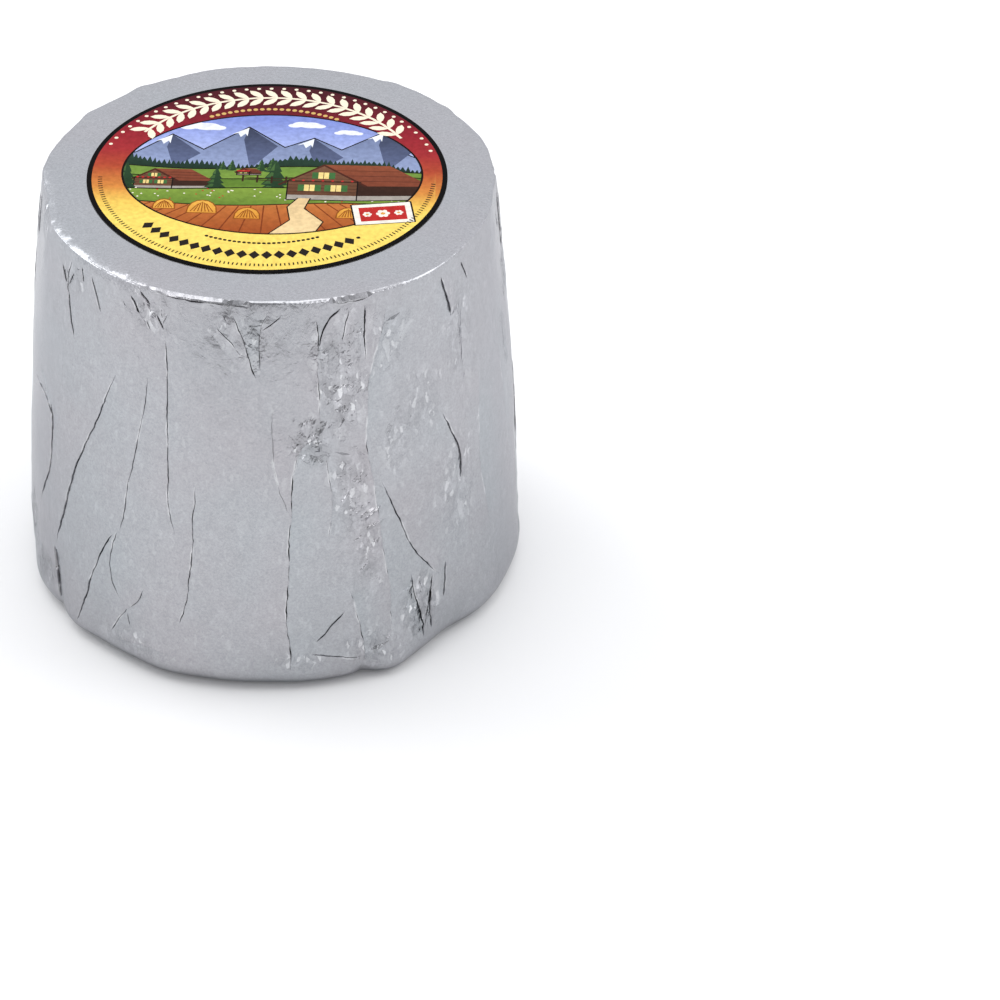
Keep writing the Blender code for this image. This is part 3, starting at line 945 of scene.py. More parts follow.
    def back_folds(self) -> tuple[Fold, ...]:
        """Folds the unseen back at about the spacing of the pleats in front."""
        draw = random.Random(self.back_seed)
        folds = []
        for start, end in self.back_ranges:
            angle = start
            while angle < end - 4:
                top, bottom = draw.uniform(46, 92), draw.uniform(3, 30)
                lean, bow = draw.uniform(-6, 6), draw.uniform(-3, 3)
                lean = min(lean, end - angle)
                path = (
                    (angle, top),
                    (angle + lean / 3 + bow, (2 * top + bottom) / 3),
                    (angle + lean * 2 / 3 - bow / 2, (top + 2 * bottom) / 3),
                    (angle + lean, bottom),
                )
                lip = draw.choice((-1, 1)) * draw.uniform(0.15, 0.4)
                gap = (draw.uniform(0.05, 0.2), draw.uniform(0.1, 0.3))
                folds.append(Fold(path, lip, draw.uniform(5, 10), gap))
                for tuck in (angle + draw.uniform(2, 5), angle + draw.uniform(6, 9)):
                    slant, tuck_end = draw.uniform(-3, 3), draw.uniform(72, 88)
                    lip = draw.choice((-1, 1)) * draw.uniform(0.1, 0.25)
                    tuck_path = ((tuck, draw.uniform(89, 92)), (tuck + slant, tuck_end))
                    gap = (draw.uniform(0.1, 0.3), draw.uniform(0.1, 0.2))
                    folds.append(Fold(tuck_path, lip, draw.uniform(2, 4), gap))
                ridge, height = angle + draw.uniform(4, 9), draw.uniform(20, 60)
                reach, slant = draw.uniform(8, 22), draw.uniform(-5, 5)
                ridge_path = ((ridge, height + reach), (ridge + slant, height))
                folds.append(Fold(ridge_path, draw.choice((-0.3, 0.3)), draw.uniform(0.8, 1.5)))
                angle += draw.uniform(10, 16)
        return tuple(folds)

    def fan_ribs(self, fans: Iterable[Fan]) -> tuple[Fold, ...]:
        """Sets the straight ribs of all fans, each of its own length and height."""
        draw = random.Random(self.back_seed + 5)
        ribs = []
        for fan in fans:
            for number in range(fan.count):
                away = (number - (fan.count - 1) / 2) * 1.25 * fan.step
                across = away * math.cos(math.radians(fan.slope)) + draw.uniform(-0.3, 0.3)
                up = -away * math.sin(math.radians(fan.slope)) + draw.uniform(-1.2, 1.2)
                angle = fan.angle + math.degrees(across / self.strip_radius)
                height = fan.height + up
                length, lip = fan.length * draw.uniform(0.5, 1.1), fan.lip * draw.uniform(0.6, 1.2)
                slope = math.radians(fan.slope + fan.spread * number)
                aside = math.degrees(length / 2 * math.sin(slope) / self.strip_radius)
                tall = length / 2 * math.cos(slope)
                path = ((angle + aside, height + tall), (angle - aside, height - tall))
                ribs.append(Fold(path, lip, 0.45 * fan.step))
        return tuple(ribs)

    def back_crumples(self) -> tuple[Patch, ...]:
        """Crumples the unseen back here and there, most of it near the rim and the base."""
        draw = random.Random(self.back_seed + 2)
        patches = []
        for start, end in self.back_ranges:
            for _ in range(9):
                angle = draw.uniform(start, end)
                bands = ((4, 20), (30, 80), (80, 91))
                height = draw.choice([draw.uniform(*band) for band in bands])
                reach = draw.uniform(4, 12)
                depth, facet = draw.uniform(0.18, 0.34), draw.uniform(1.0, 1.8)
                patches.append(Patch(angle, height, draw.uniform(4, 8), reach, depth, facet))
        return tuple(patches)

    def flat_place(self, angle: float, height: float) -> Vector:
        """The place on the strip of an angle in degrees and a height on the wall."""
        wall = slice(2, len(self.outline) - self.top_rows)
        along = np.interp(height, self.outline[wall, 1], self.rows[wall])
        return Vector((math.radians(angle) * self.strip_radius, float(along)))

    def fold_line(self, fold: Fold) -> FoldLine:
        """Runs a smooth, slightly wandering line through a fold's points on the strip.

        Args:
            fold: the fold.

        Returns:
            Its line, with points about three quarters of a millimetre apart.
        """
        points = [self.flat_place(*point) for point in fold.path]
        ends = [2 * points[0] - points[1]] + points + [2 * points[-1] - points[-2]]
        line = [points[0]]
        for before, start, end, after in zip(ends, ends[1:], ends[2:], ends[3:]):
            square = 2 * before - 5 * start + 4 * end - after
            cube = 3 * start - before - 3 * end + after
            steps = max(2, round((end - start).length / self.line_step))
            for part in (step / steps for step in range(1, steps + 1)):
                place = 2 * start + (end - before) * part + square * part**2 + cube * part**3
                line.append(0.5 * place)
        curve = np.array(line)
        lengths = lengths_along(curve)
        level_curve = np.column_stack((curve, np.full(len(curve), WANDER_LEVEL)))
        wander = sum(reach * noise_at(level_curve, width) for width, reach in self.wander)
        curve = curve + sides_of(curve) * wander[:, None]
        return FoldLine(fold, curve, lengths / lengths[-1], float(lengths[-1]))

    def beside(
        self, flat: Array, line: FoldLine, reach: float
    ) -> tuple[Array, Array, Array]:
        """Finds and measures the points near a line, also across the strip's joined ends.

        Args:
            flat: points on the strip.
            line: a fold's line.
            reach: how near.

        Returns:
            The numbers of the near points, the distance of each, positive on the line's
            left, and how far along the line its nearest place is, from 0 to 1.
        """
        round_trip = 2 * self.half_width
        moved = flat.copy()
        aside = flat[:, 0] - line.points[:, 0].mean()
        moved[:, 0] -= round_trip * np.round(aside / round_trip)
        low, high = line.points.min(axis=0) - reach, line.points.max(axis=0) + reach
        numbers = np.nonzero(np.all((moved >= low) & (moved <= high), axis=1))[0]
        moved = moved[numbers]
        best = np.full(len(moved), np.inf)
        signed, progress = best.copy(), np.zeros(len(moved))
        ends = zip(line.points, line.points[1:], line.progress, line.progress[1:])
        for start, end, before, after in ends:
            length = math.dist(start, end)
            direction = (end - start) / length
            offset = moved - start
            held = np.clip(offset @ direction, 0.0, length)
            away = np.hypot(*(offset - held[:, None] * direction).T)
            side = direction[0] * offset[:, 1] - direction[1] * offset[:, 0]
            nearer = away < best
            best = np.where(nearer, away, best)
            signed = np.where(nearer, np.copysign(away, side), signed)
            progress = np.where(nearer, before + (after - before) * held / length, progress)
        return numbers, signed, progress

    def fold_relief(self, flat: Array) -> tuple[Array, dict[str, Array]]:
        """Raises each point by the folds near it.

        Args:
            flat: points on the strip.

        Returns:
            The height of the relief at each point, and its marks: the painted shade in a crease,
            the painted highlight on a fold's edge, and the painted reflection of its panel's lean.
        """
        relief, crease_shade, edge_highlight, lean = np.zeros((4, len(flat)))
        for line in self.lines:
            fold = line.fold
            numbers, signed, progress = self.beside(flat, line, fold.ramp + 1)
            if not fold.has_pocket:
                relief[numbers] += line.strength(progress) * fold.lip * ridge(signed, fold.ramp)
                continue
            # The marks gathered here are painted shade in pockets, painted highlights on edges and
            # painted reflection of the lean.
            rise, shade, shine, leaning = self.section.across(line, signed, progress)
            relief[numbers] += rise
            crease_shade[numbers] = np.maximum(crease_shade[numbers], shade)
            edge_highlight[numbers] = np.maximum(edge_highlight[numbers], shine)
            lean[numbers] += leaning
        return relief, {"crease_shade": crease_shade, "edge_highlight": edge_highlight, "lean": lean}

    def patch_reach(self, angle: Array, height: Array, patch: Patch) -> Array:
        """How far out each point is in a patch: 0 in its middle, 1 at its edge."""
        return np.hypot(
            turned(angle, patch.angle) / patch.half_angle,
            (height - patch.height) / patch.half_height,
        )

    def crumple(self, angle: Array, height: Array, ragged: Array) -> Array:
        """How crumpled the foil is at each point: a little everywhere, most in the patches."""
        crumple = np.full(len(angle), 0.10)
        for patch in self.patches:
            reach = self.patch_reach(angle, height, patch) + ragged
            inside = smooth_step((1.35 - reach) / 0.9)
            crumple = np.maximum(crumple, min(1.0, 2.4 * patch.depth) * inside)
        return crumple

    @staticmethod
    def bulge_out(angle: Array, bulges: Sequence[Bulge]) -> Array:
        """The sum of the bulges at each angle."""
        total = np.zeros(len(angle))
        for bulge in bulges:
            total += bulge.out * np.exp(-((turned(angle, bulge.angle) / bulge.half_angle) ** 2))
        return total

    def wrap(self, flat: Array, relief: Array, bulge: Array) -> Array:
        """Wraps flat points round the wheel.

        Args:
            flat: points on the strip.
            relief: how far each stands out along the skin's normal.
            bulge: how far each is moved straight out from the axis.

        Returns:
            The points in space.
        """
        angle = flat[:, 0] / self.strip_radius
        radius, height = (np.interp(flat[:, 1], self.rows, column) for column in self.outline.T)
        outward, upward = (np.interp(flat[:, 1], self.rows, column) for column in self.normals.T)
        radius = radius + relief * outward + bulge
        height = np.maximum(height + relief * upward, 0.0)
        return np.column_stack((radius * np.sin(angle), -radius * np.cos(angle), height))

    def plain_points(self) -> Array:
        """Spreads points evenly over the strip, each second row set over by half a step."""
        columns = round(2 * self.half_width / (1.1 * self.spacing))
        even = np.linspace(-self.half_width, self.half_width, columns + 1)
        between = (even[1:] + even[:-1]) / 2
        set_over = np.concatenate((even[:1], between, even[-1:]))
        rows = []
        for number, along in enumerate(self.rows):
            edge_row = number in (0, len(self.rows) - 1)
            across = even if edge_row or number % 2 == 0 else set_over
            rows.append(np.column_stack((across, np.full(len(across), along))))
        return np.concatenate(rows)

    def facet_points(self) -> tuple[Array, Array]:
        """Sets the corners of the crumpled patches' facets, each in or out by chance.

        Returns:
            The corners on the strip, and how far each stands out.
        """
        draw = random.Random(self.back_seed + 3)
        corners, heights = [], []
        for patch in self.patches:
            middle = self.flat_place(patch.angle, patch.height)
            half_width = math.radians(patch.half_angle) * self.strip_radius
            long_side = 1.7 * patch.facet
            columns = int(half_width / patch.facet)
            rows = int(patch.half_height / long_side)
            for row in range(-rows, rows + 1):
                for column in range(-columns, columns + 1):
                    across = (column + draw.uniform(-0.45, 0.45)) * patch.facet
                    along = (row + draw.uniform(-0.45, 0.45)) * long_side
                    reach = math.hypot(across / half_width, along / patch.half_height)
                    height = patch.depth * draw.uniform(-1, 1) * min(1.0, 1.6 - 1.2 * reach)
                    if reach < 1 and along + middle.y < self.rows[-self.top_rows - 3]:
                        corners.append((middle.x + across, middle.y + along))
                        heights.append(height)
        return np.array(corners), np.array(heights)

    def line_points(self, line: FoldLine) -> tuple[Array, list[tuple[int, int]]]:
        """Sets the points along a fold: its pocket's floor, its two edges and its lip.

        Args:
            line: the fold's line.

        Returns:
            The points, and the pairs of them that are joined by an edge.
        """
        sideways = sides_of(line.points)[1:-1]
        inner = line.points[1:-1]
        gap = line.half_gap(line.progress[1:-1])
        half = np.maximum(gap, self.section.least_half_gap)[:, None]
        if not line.fold.has_pocket:
            half = np.full_like(half, line.fold.ramp)
        rails = [inner + sideways * half, inner, inner - sideways * half]
        points = [line.points[:1], *rails, line.points[-1:]]
        count = len(inner)
        last = 3 * count + 1
        joins = []
        for rail in range(3):
            first = 1 + rail * count
            joins += [(0, first), (first + count - 1, last)]
            joins += [(first + step, first + step + 1) for step in range(count - 1)]
        if line.fold.has_pocket:
            aside = sideways * (half + self.lip_step)
            points += [inner + aside, inner - aside]
        return np.concatenate(points), joins

    def divide(self) -> tuple[Array, list[Sequence[int]], Array]:
        """Cuts the strip into triangles along the folds and the facets.

        Returns:
            The points, the triangles' corners, and each point's own height as a facet's
            corner, 0 elsewhere.
        """
        plain = self.plain_points()
        angle = np.degrees(plain[:, 0] / self.strip_radius)
        height = np.interp(plain[:, 1], self.rows, self.outline[:, 1])
        on_edge = np.abs(np.abs(plain[:, 0]) - self.half_width) < 1e-6
        on_edge |= (plain[:, 1] == self.rows[0]) | (plain[:, 1] == self.rows[-1])
        keep = np.ones(len(plain), dtype=bool)
        on_wall = plain[:, 1] < self.rows[-self.top_rows - 2]
        for patch in self.patches:
            keep &= (self.patch_reach(angle, height, patch) > 0.97) | ~on_wall
        facets, facet_heights = self.facet_points()
        keep_facet = np.ones(len(facets), dtype=bool)
        for line in self.lines:
            clear = 1.0 if line.fold.has_pocket else line.fold.ramp + 0.25
            for points, kept in ((plain, keep), (facets, keep_facet)):
                numbers, signed, progress = self.beside(points, line, 3.0)
                crowded = np.abs(signed) < line.half_gap(progress) + clear
                kept[numbers[crowded]] = False
        plain = plain[keep | on_edge]
        facets, facet_heights = facets[keep_facet], facet_heights[keep_facet]

        own_height = [np.zeros(len(plain)), facet_heights]
        points = [plain, facets]
        joins: list[tuple[int, int]] = []
        total = len(plain) + len(facets)
        for line in self.lines:
            rails, rail_joins = self.line_points(line)
            joins += [(start + total, end + total) for start, end in rail_joins]
            points.append(rails)
            own_height.append(np.zeros(len(rails)))
            total += len(rails)
        flat = np.concatenate(points)
        result = delaunay_2d_cdt([Vector(point) for point in flat], joins, [], 0, FUSE_MM, True)
        given = np.concatenate(own_height)
        kept_height = np.array(
            [max((given[n] for n in origin), key=abs, default=0.0) for origin in result[3]]
        )
        return np.array([vertex[:] for vertex in result[0]]), result[2], kept_height

    def relief(
        self, flat: Array, own_height: Array
    ) -> tuple[Array, Array, dict[str, Array]]:
        """Works out how each point of the skin stands out.

        Args:
            flat: points on the strip.
            own_height: their own heights as corners of facets.

        Returns:
            The relief along the normal, the bulge from the axis, and the marks.
        """
        level = np.zeros(len(flat))
        angle = np.degrees(flat[:, 0] / self.strip_radius)
        places = self.wrap(flat, level, level)
        radius = np.hypot(places[:, 0], places[:, 1])
        height = places[:, 2]
        on_top = height > self.height - self.rim_rounding / 2

        relief = sum(depth * noise_at(places, width) for width, depth in self.waves)
        corner_row = -self.top_rows - 1 - self.rim_rows // 2
        from_rim = np.abs(flat[:, 1] - self.rows[corner_row])
        lumps = 0.13 * noise_at(places, 3.0) * np.exp(-((from_rim / 1.5) ** 2))
        start, end, press = self.soft_rim
        pressed = smooth_step((angle - start) / 14) * smooth_step((end - angle) / 14)
        lumps = lumps - press * pressed * np.exp(-((from_rim / 1.3) ** 2))
        folded, marks = self.fold_relief(flat)
        # Painted shade: the low corners of crumpled facets get a little of the crease's dark.
        marks["crease_shade"] += 0.12 * np.clip(-own_height / 0.3, 0.0, 1.0)
        marks["crumple"] = self.crumple(angle, height, 0.5 * noise_at(places, 4.5)) * ~on_top
        relief = relief + folded + own_height
        above_base = smooth_step((height - 0.5) / self.base_corner)
        beside_label = smooth_step((radius - self.label_radius - 1.5) / 4)
        relief = relief * np.where(on_top, 0.35 * beside_label, above_base) + lumps

        low = np.exp(-((height / self.base_bulge_height) ** 2))
        high = np.exp(-(((self.height - height) / self.rim_bulge_height) ** 2))
        at_edge = smooth_step((radius - self.label_radius - 1.5) / 6)
        bulge = low * self.bulge_out(angle, BASE_BULGES) + high * self.bulge_out(angle, RIM_BULGES)
        return relief, bulge * at_edge, marks

    def join_ends(self, flat: Array) -> list[int]:
        """For each point its own number, or its partner's where the strip's ends meet."""
        number = list(range(len(flat)))
        at_left = {}
        for index, (across, along) in enumerate(flat):
            if abs(across + self.half_width) < 1e-4:
                at_left[round(float(along), 3)] = index
        for index, (across, along) in enumerate(flat):
            if abs(across - self.half_width) < 1e-4:
                number[index] = at_left[round(float(along), 3)]
        return number

    def build(self) -> Thing:
        """Builds the foil's skin and dresses it.

        Returns:
            The finished piece, at the origin.
        """
        flat, triangles, own_height = self.divide()
        relief, bulge, marks = self.relief(flat, own_height)
        places = self.wrap(flat, relief, bulge)
        middle = (places.min(axis=0) + places.max(axis=0)) / 2
        places -= np.array((middle[0], middle[1], 0.0))

        number = self.join_ends(flat)
        mesh = bmesh.new()
        for name in marks:
            mesh.verts.layers.float.new(name)
        layers = {name: mesh.verts.layers.float[name] for name in marks}
        vertices = {}
        for index in sorted(set(number)):
            vertices[index] = mesh.verts.new(places[index] * MM)
            for name, layer in layers.items():
                vertices[index][layer] = marks[name][index]
        for triangle in triangles:
            corners = [vertices[number[index]] for index in triangle]
            if len(set(corners)) == 3:
                mesh.faces.new(corners)
        for row, height in ((self.rows[0], 0.0), (self.rows[-1], self.height)):
            ring = [index for index in vertices if abs(flat[index][1] - row) < 1e-4]
            ring.sort(key=lambda index: flat[index][0])
            hub = mesh.verts.new((0.0, 0.0, height * MM))
            for start, end in zip(ring, ring[1:] + ring[:1]):
                mesh.faces.new((vertices[start], vertices[end], hub))
        bmesh.ops.recalc_face_normals(mesh, faces=mesh.faces[:])
        foil = make_object("foil_wrap", mesh, [self.finish.make()])
        foil.data.shade_smooth()
        foil.data.set_sharp_from_angle(angle=math.radians(self.sharp_angle))
        return foil


def make_object(
    name: str, mesh: bmesh.types.BMesh, materials: Sequence[Material]
) -> Thing:
    """Turns a finished bmesh into a named object in the scene.

    Args:
        name: the object's name.
        mesh: its mesh, in metres, which is freed.
        materials: its material slots.

    Returns:
        The object.
    """
    data = bpy.data.meshes.new(name)
    mesh.to_mesh(data)
    mesh.free()
    for material in materials:
        data.materials.append(material)
    thing = bpy.data.objects.new(name, data)
    bpy.context.scene.collection.objects.link(thing)
    return thing


class Ink(Enum):
    """The label's printed colours, each with its stops (height on the label, colour)."""

    RIM = ((0.0, "#0C0A0B"),)
    BORDER = (
        (36.0, "#451C23"),
        (27.0, "#5E1D27"),
        (18.0, "#8E2430"),
        (9.0, "#A03034"),
        (2.0, "#AE4A32"),
        (-6.0, "#D08641"),
        (-12.0, "#EFC65E"),
        (-18.0, "#F4D76B"),
    )
    KEYLINE = ((0.0, "#17110F"),)
    SKY = ((22.0, "#7F8ED0"), (12.0, "#A3B0E2"), (4.0, "#C6D0F0"))
    CLOUD = ((16.0, "#E9EBF6"), (10.0, "#C9CEE9"))
    PEAK = ((18.0, "#6C7899"), (4.0, "#8F9CC0"))
    PEAK_SHADE = ((18.0, "#3B4156"), (4.0, "#5D6788"))
    HAY = ((-8.0, "#F0BC55"), (-19.0, "#CC7F2C"))
    HAY_SHADE = ((0.0, "#8F4F1C"),)
    CARD = ((0.0, "#EFE9DE"),)
    SNOW = ((0.0, "#EEF1F7"),)
    FOREST = ((8.0, "#2C4236"), (2.0, "#1F3328"))
    MEADOW_FAR = ((6.0, "#5F7F3A"), (-3.0, "#7C9A42"))
    MEADOW = ((2.0, "#4E6F2C"), (-10.0, "#6E8C36"))
    PASTURE = ((-4.0, "#86A043"), (-14.0, "#5D7B30"))
    FIELD = ((-8.0, "#C77A3F"), (-22.0, "#9E4F26"))
    FURROW = ((0.0, "#7E3B1C"),)
    PATH = ((-4.0, "#D8B98A"), (-22.0, "#EBCF9C"))
    TIMBER = ((6.0, "#7A5540"), (-10.0, "#5C3C2B"))
    TIMBER_SHADE = ((6.0, "#452B20"), (-10.0, "#32201A"))
    ROOF = ((12.0, "#A05A3C"), (0.0, "#7E4330"))
    ROOF_SHADE = ((12.0, "#5F3024"), (0.0, "#4A261D"))
    STONE = ((0.0, "#A39C94"),)
    PANE = ((0.0, "#F0D48A"),)
    SHUTTER = ((0.0, "#3F6B3C"),)
    FIR = ((8.0, "#2F4B30"), (-10.0, "#1E3422"))
    FIR_LIGHT = ((8.0, "#4E6E3E"), (-10.0, "#35552F"))
    FENCE = ((0.0, "#3B261B"),)
    BLOSSOM = ((0.0, "#F3E9DC"),)
    POPPY = ((0.0, "#B92E2B"),)

    def at(self, height: float) -> Colour:
        """The ink's linear colour at a height on the label."""
        stops = [(level, linear(colour)) for level, colour in self.value]
        if height >= stops[0][0] or len(stops) == 1:
            return stops[0][1]
        for (upper, first), (lower, second) in zip(stops, stops[1:]):
            if height >= lower:
                part = (upper - height) / (upper - lower)
                red, green, blue, alpha = (
                    a + (b - a) * part for a, b in zip(first, second)
                )
                return red, green, blue, alpha
        return stops[-1][1]


@dataclass(frozen=True)
class Field:
    """One printed shape: its corners on the label, its ink, and whether it may leave the window."""

    corners: tuple[Point, ...]
    ink: Ink
    over: bool = False


def ellipse(x: float, y: float, half_width: float, half_height: float, sides: int) -> Outline:
    """Gives the corners of an ellipse about a middle, anticlockwise."""
    turns = [2 * math.pi * step / sides for step in range(sides)]
    return tuple(
        (x + half_width * math.cos(turn), y + half_height * math.sin(turn)) for turn in turns
    )


def rolling(level: float, swell: float, width: float, shift: float) -> list[Point]:
    """Gives a skyline that is one long soft wave, right across the picture."""
    places = np.linspace(-34, 34, 35).tolist()
    return [(x, level + swell * math.sin((x + shift) / width)) for x in places]


@dataclass
class Landscape:
    """The label's picture: mountains, woods, meadows, three houses and a ploughed field.

    Attributes:
        half_width: half the width of the picture's window.
        half_height: half its height.
        middle: the window's middle on the label.
        seed: the seed of what is drawn by chance, such as flowers.
        outline_width: how wide the dark outlines are.
        fields: what has been drawn so far, the topmost last.
    """

    half_width: float = 31.0
    half_height: float = 23.4
    middle: Point = (1.0, 0.6)
    seed: int = 4
    outline_width: float = 0.34
    fields: list[Field] = field(default_factory=list)

    def patch(self, ink: Ink, *corners: Point, over: bool = False) -> None:
        """Prints one shape on top of what is there."""
        self.fields.append(Field(corners, ink, over))

    def block(self, ink: Ink, left: float, low: float, width: float, height: float) -> None:
        """Prints an upright rectangle."""
        right, high = left + width, low + height
        self.patch(ink, (left, low), (right, low), (right, high), (left, high))

    def stroke(self, ink: Ink, width: float, *points: Point) -> None:
        """Prints a line of even width, as one small four-cornered shape for each of its parts."""
        for (x0, y0), (x1, y1) in zip(points, points[1:]):
            length = math.hypot(x1 - x0, y1 - y0)
            across = (-(y1 - y0) / length * width / 2, (x1 - x0) / length * width / 2)
            ahead = ((x1 - x0) / length * width / 3, (y1 - y0) / length * width / 3)
            corners = ((x0, y0, -1, -1), (x1, y1, -1, 1), (x1, y1, 1, 1), (x0, y0, 1, -1))
            self.patch(
                ink,
                *(
                    (x + side * across[0] + end * ahead[0], y + side * across[1] + end * ahead[1])
                    for x, y, side, end in corners
                ),
            )

    def layer(self, skyline: Sequence[Point], ink: Ink, outlined: bool = True) -> None:
        """Fills everything below a skyline that runs right across the window."""
        floor = self.middle[1] - self.half_height - 2
        self.patch(ink, (skyline[-1][0], floor), *reversed(skyline), (skyline[0][0], floor))
        if outlined:
            self.stroke(Ink.KEYLINE, self.outline_width, *skyline)

    def mountains(self) -> None:
        """Draws the far range, each peak with a lit snowfield and a shaded face."""
        peaks = ((-28, 8), (-21, 15.5), (-14, 9.5), (-5, 19), (3, 11), (9, 15), (15, 10.5))
        peaks += ((23.5, 18), (29, 9))
        self.layer(((-36, 3), *peaks, (36, 4)), Ink.PEAK)
        for x, top in peaks[1::2]:
            deep = top - 3.2
            face = ((x, top - 0.2), (x + 6.5, deep - 4.4), (x + 1.2, 2.0), (x - 0.8, deep - 2.0))
            self.patch(Ink.PEAK_SHADE, *face)
            edge = ((-3.4, 0.2), (-2.2, 0.7), (-1.6, -0.9), (-0.6, 0.5), (-0.2, -0.6))
            self.patch(Ink.SNOW, (x, top - 0.3), *((x + aside, deep + up) for aside, up in edge))

    def clouds(self) -> None:
        """Draws soft heaps of cloud, each of a few rounds."""
        rounds = ((-2.6, 0, 1.1), (-1.0, 0.6, 1.5), (1.0, 0.3, 1.7), (3.0, -0.1, 1.1))
        for x, y, size in ((-15, 18.5, 1.1), (7.0, 20.0, 0.9), (16, 17.3, 0.7)):
            for shift, rise, radius in rounds:
                place = (x + shift * size, y + rise * size)
                puff = ellipse(*place, 1.5 * radius * size, 0.8 * radius * size, 20)
                self.patch(Ink.CLOUD, *puff)

    def forest(self) -> None:
        """Draws the wood under the mountains, its skyline a row of uneven tree tops."""
        draw = random.Random(self.seed)
        skyline = [(-34.0, 3.0)]
        x = -33.0
        while x < 34:
            ground = 4.6 + 1.6 * math.sin(x / 7.0) + 0.8 * math.sin(x / 2.9)
            top = ground + draw.uniform(0.5, 1.7)
            skyline += [(x, ground - 0.4), (x + 0.45, top)]
            x += draw.uniform(0.8, 1.2)
        self.layer([*skyline, (35.0, 3.0)], Ink.FOREST, outlined=False)

    def fir(self, x: float, y: float, height: float) -> None:
        """Draws a fir of four tiers, lit from the left."""
        for tier in range(4):
            base = y + height * (0.08 + 0.2 * tier)
            top = base + height * 0.36
            half = height * (0.27 - 0.055 * tier)
            foot = (x, base - 0.06 * height)
            self.patch(Ink.FIR, (x - half, base), foot, (x + half, base), (x, top))
            self.patch(
                Ink.FIR_LIGHT,
                (x - half * 0.86, base + 0.02 * height),
                (x - half * 0.2, base + 0.03 * height),
                (x - 0.02 * height, top - 0.1 * height),
            )

    def chalet(self, x: float, y: float, width: float) -> None:
        """Draws a timber house: gable end in the light, long side in shade.

        Args:
            x: its left corner.
            y: its foot.
            width: the width of its gable end; everything else follows from it.
        """
        ridge = 0.95 * width
        wall, stone, eave = 0.52 * width, 0.13 * width, 0.12 * width
        right, far = x + width, x + width + ridge
        back = y + 0.06 * width
        peak, far_peak = (x + width / 2, y + ridge), (x + width / 2 + ridge, y + ridge)
        low = y + wall - eave
        self.patch(Ink.TIMBER_SHADE, (right, y), (far, back), (far, y + wall), (right, y + wall))
        self.patch(Ink.TIMBER, (x, y), (right, y), (right, y + wall), peak, (x, y + wall))
        self.block(Ink.STONE, x, y, width, stone)
        self.patch(Ink.STONE, (right, y), (far, back), (far, y + 0.17 * width), (right, y + stone))
        for board in range(1, 7):
            level = y + (0.13 + 0.09 * board) * width
            inset = max(0.0, (level - y - wall) / (ridge - wall)) * width / 2
            self.stroke(Ink.TIMBER_SHADE, 0.12, (x + inset, level), (right - inset, level))
        self.patch(
            Ink.ROOF,
            (right + eave, low),
            (far + eave, y + wall - eave * 0.8),
            (far_peak[0], far_peak[1] + 0.2),
            (peak[0], peak[1] + 0.2),
        )
        for course in range(1, 4):
            part = course / 4
            level = peak[1] + (low - peak[1]) * part
            start = peak[0] + (right + eave - peak[0]) * part
            end = far_peak[0] + (far + eave - far_peak[0]) * part
            self.stroke(Ink.ROOF_SHADE, 0.16, (start, level), (end, level))
        self.stroke(Ink.ROOF_SHADE, 0.55, (x - eave, low), peak, (right + eave, low))
        side, tall = 0.15 * width, 0.17 * width
        for column, level in ((0.24, 0.24), (0.62, 0.24), (0.43, 0.58)):
            left, foot = x + column * width, y + level * width
            for shutter in (left - 0.6 * side, left + side):
                self.block(Ink.SHUTTER, shutter, foot, 0.6 * side, tall)
            self.block(Ink.PANE, left, foot, side, tall)
            self.stroke(Ink.KEYLINE, 0.14, (left + side / 2, foot), (left + side / 2, foot + tall))
        balcony, reach = y + 0.5 * width, 0.04 * width
        self.stroke(Ink.TIMBER_SHADE, 0.5, (x - reach, balcony), (right + reach, balcony))
        for pot in range(7):
            place = (x + (0.08 + 0.14 * pot) * width, balcony + 0.35)
            self.patch(Ink.POPPY, *ellipse(*place, 0.32, 0.3, 8))
        self.stroke(Ink.KEYLINE, self.outline_width, (x, y), (right, y), (far, back))
        for corner in (right, x):
            self.stroke(Ink.KEYLINE, 0.8 * self.outline_width, (corner, y), (corner, y + wall))

    def fence(self) -> None:
        """Draws a fence along the edge of the pasture: two rails and their posts."""
        for rise in (0.7, 1.5):
            rail = [(x, -3.1 + rise + 0.02 * (x - 2) ** 2 / 2) for x in range(-5, 13, 2)]
            self.stroke(Ink.FENCE, 0.26, *rail)
        for x in range(-5, 13, 3):
            foot = -3.3 + 0.02 * (x - 2) ** 2 / 2
            self.stroke(Ink.FENCE, 0.42, (x, foot), (x, foot + 2.5))

    def ground(self) -> None:
        """Draws the ploughed field in front, its furrows and the path to the house."""
        self.layer(rolling(-11.5, 0.9, 9.0, -4), Ink.FIELD)
        for furrow in range(-11, 13):
            top = furrow * 2.6
            level = -11.9 + 0.9 * math.sin((top - 4) / 9.0)
            parts = (0.0, 0.35, 0.7, 1.0)
            line = [(top + (furrow * 2.4) * part, level - 13 * part) for part in parts]
            self.stroke(Ink.FURROW, 0.3, *line)
        right_edge = ((9.4, -9.0), (8.4, -13), (12.5, -18), (10, -25))
        left_edge = ((6.8, -9.0), (4.8, -12.5), (5.6, -17.5), (0, -25))
        self.patch(Ink.PATH, *left_edge[1:], *reversed(right_edge), left_edge[0])
        for edge in (right_edge, left_edge):
            self.stroke(Ink.KEYLINE, 0.28, *edge)

    def flowers(self) -> None:
        """Scatters pale and red flowers over the pasture."""
        draw = random.Random(self.seed + 1)
        for _ in range(60):
            x, y = draw.uniform(-29, 30), draw.uniform(-10.4, -6.0)
            ink = draw.choice((Ink.BLOSSOM, Ink.BLOSSOM, Ink.POPPY))
            self.patch(ink, *ellipse(x, y, 0.24, 0.2, 6))

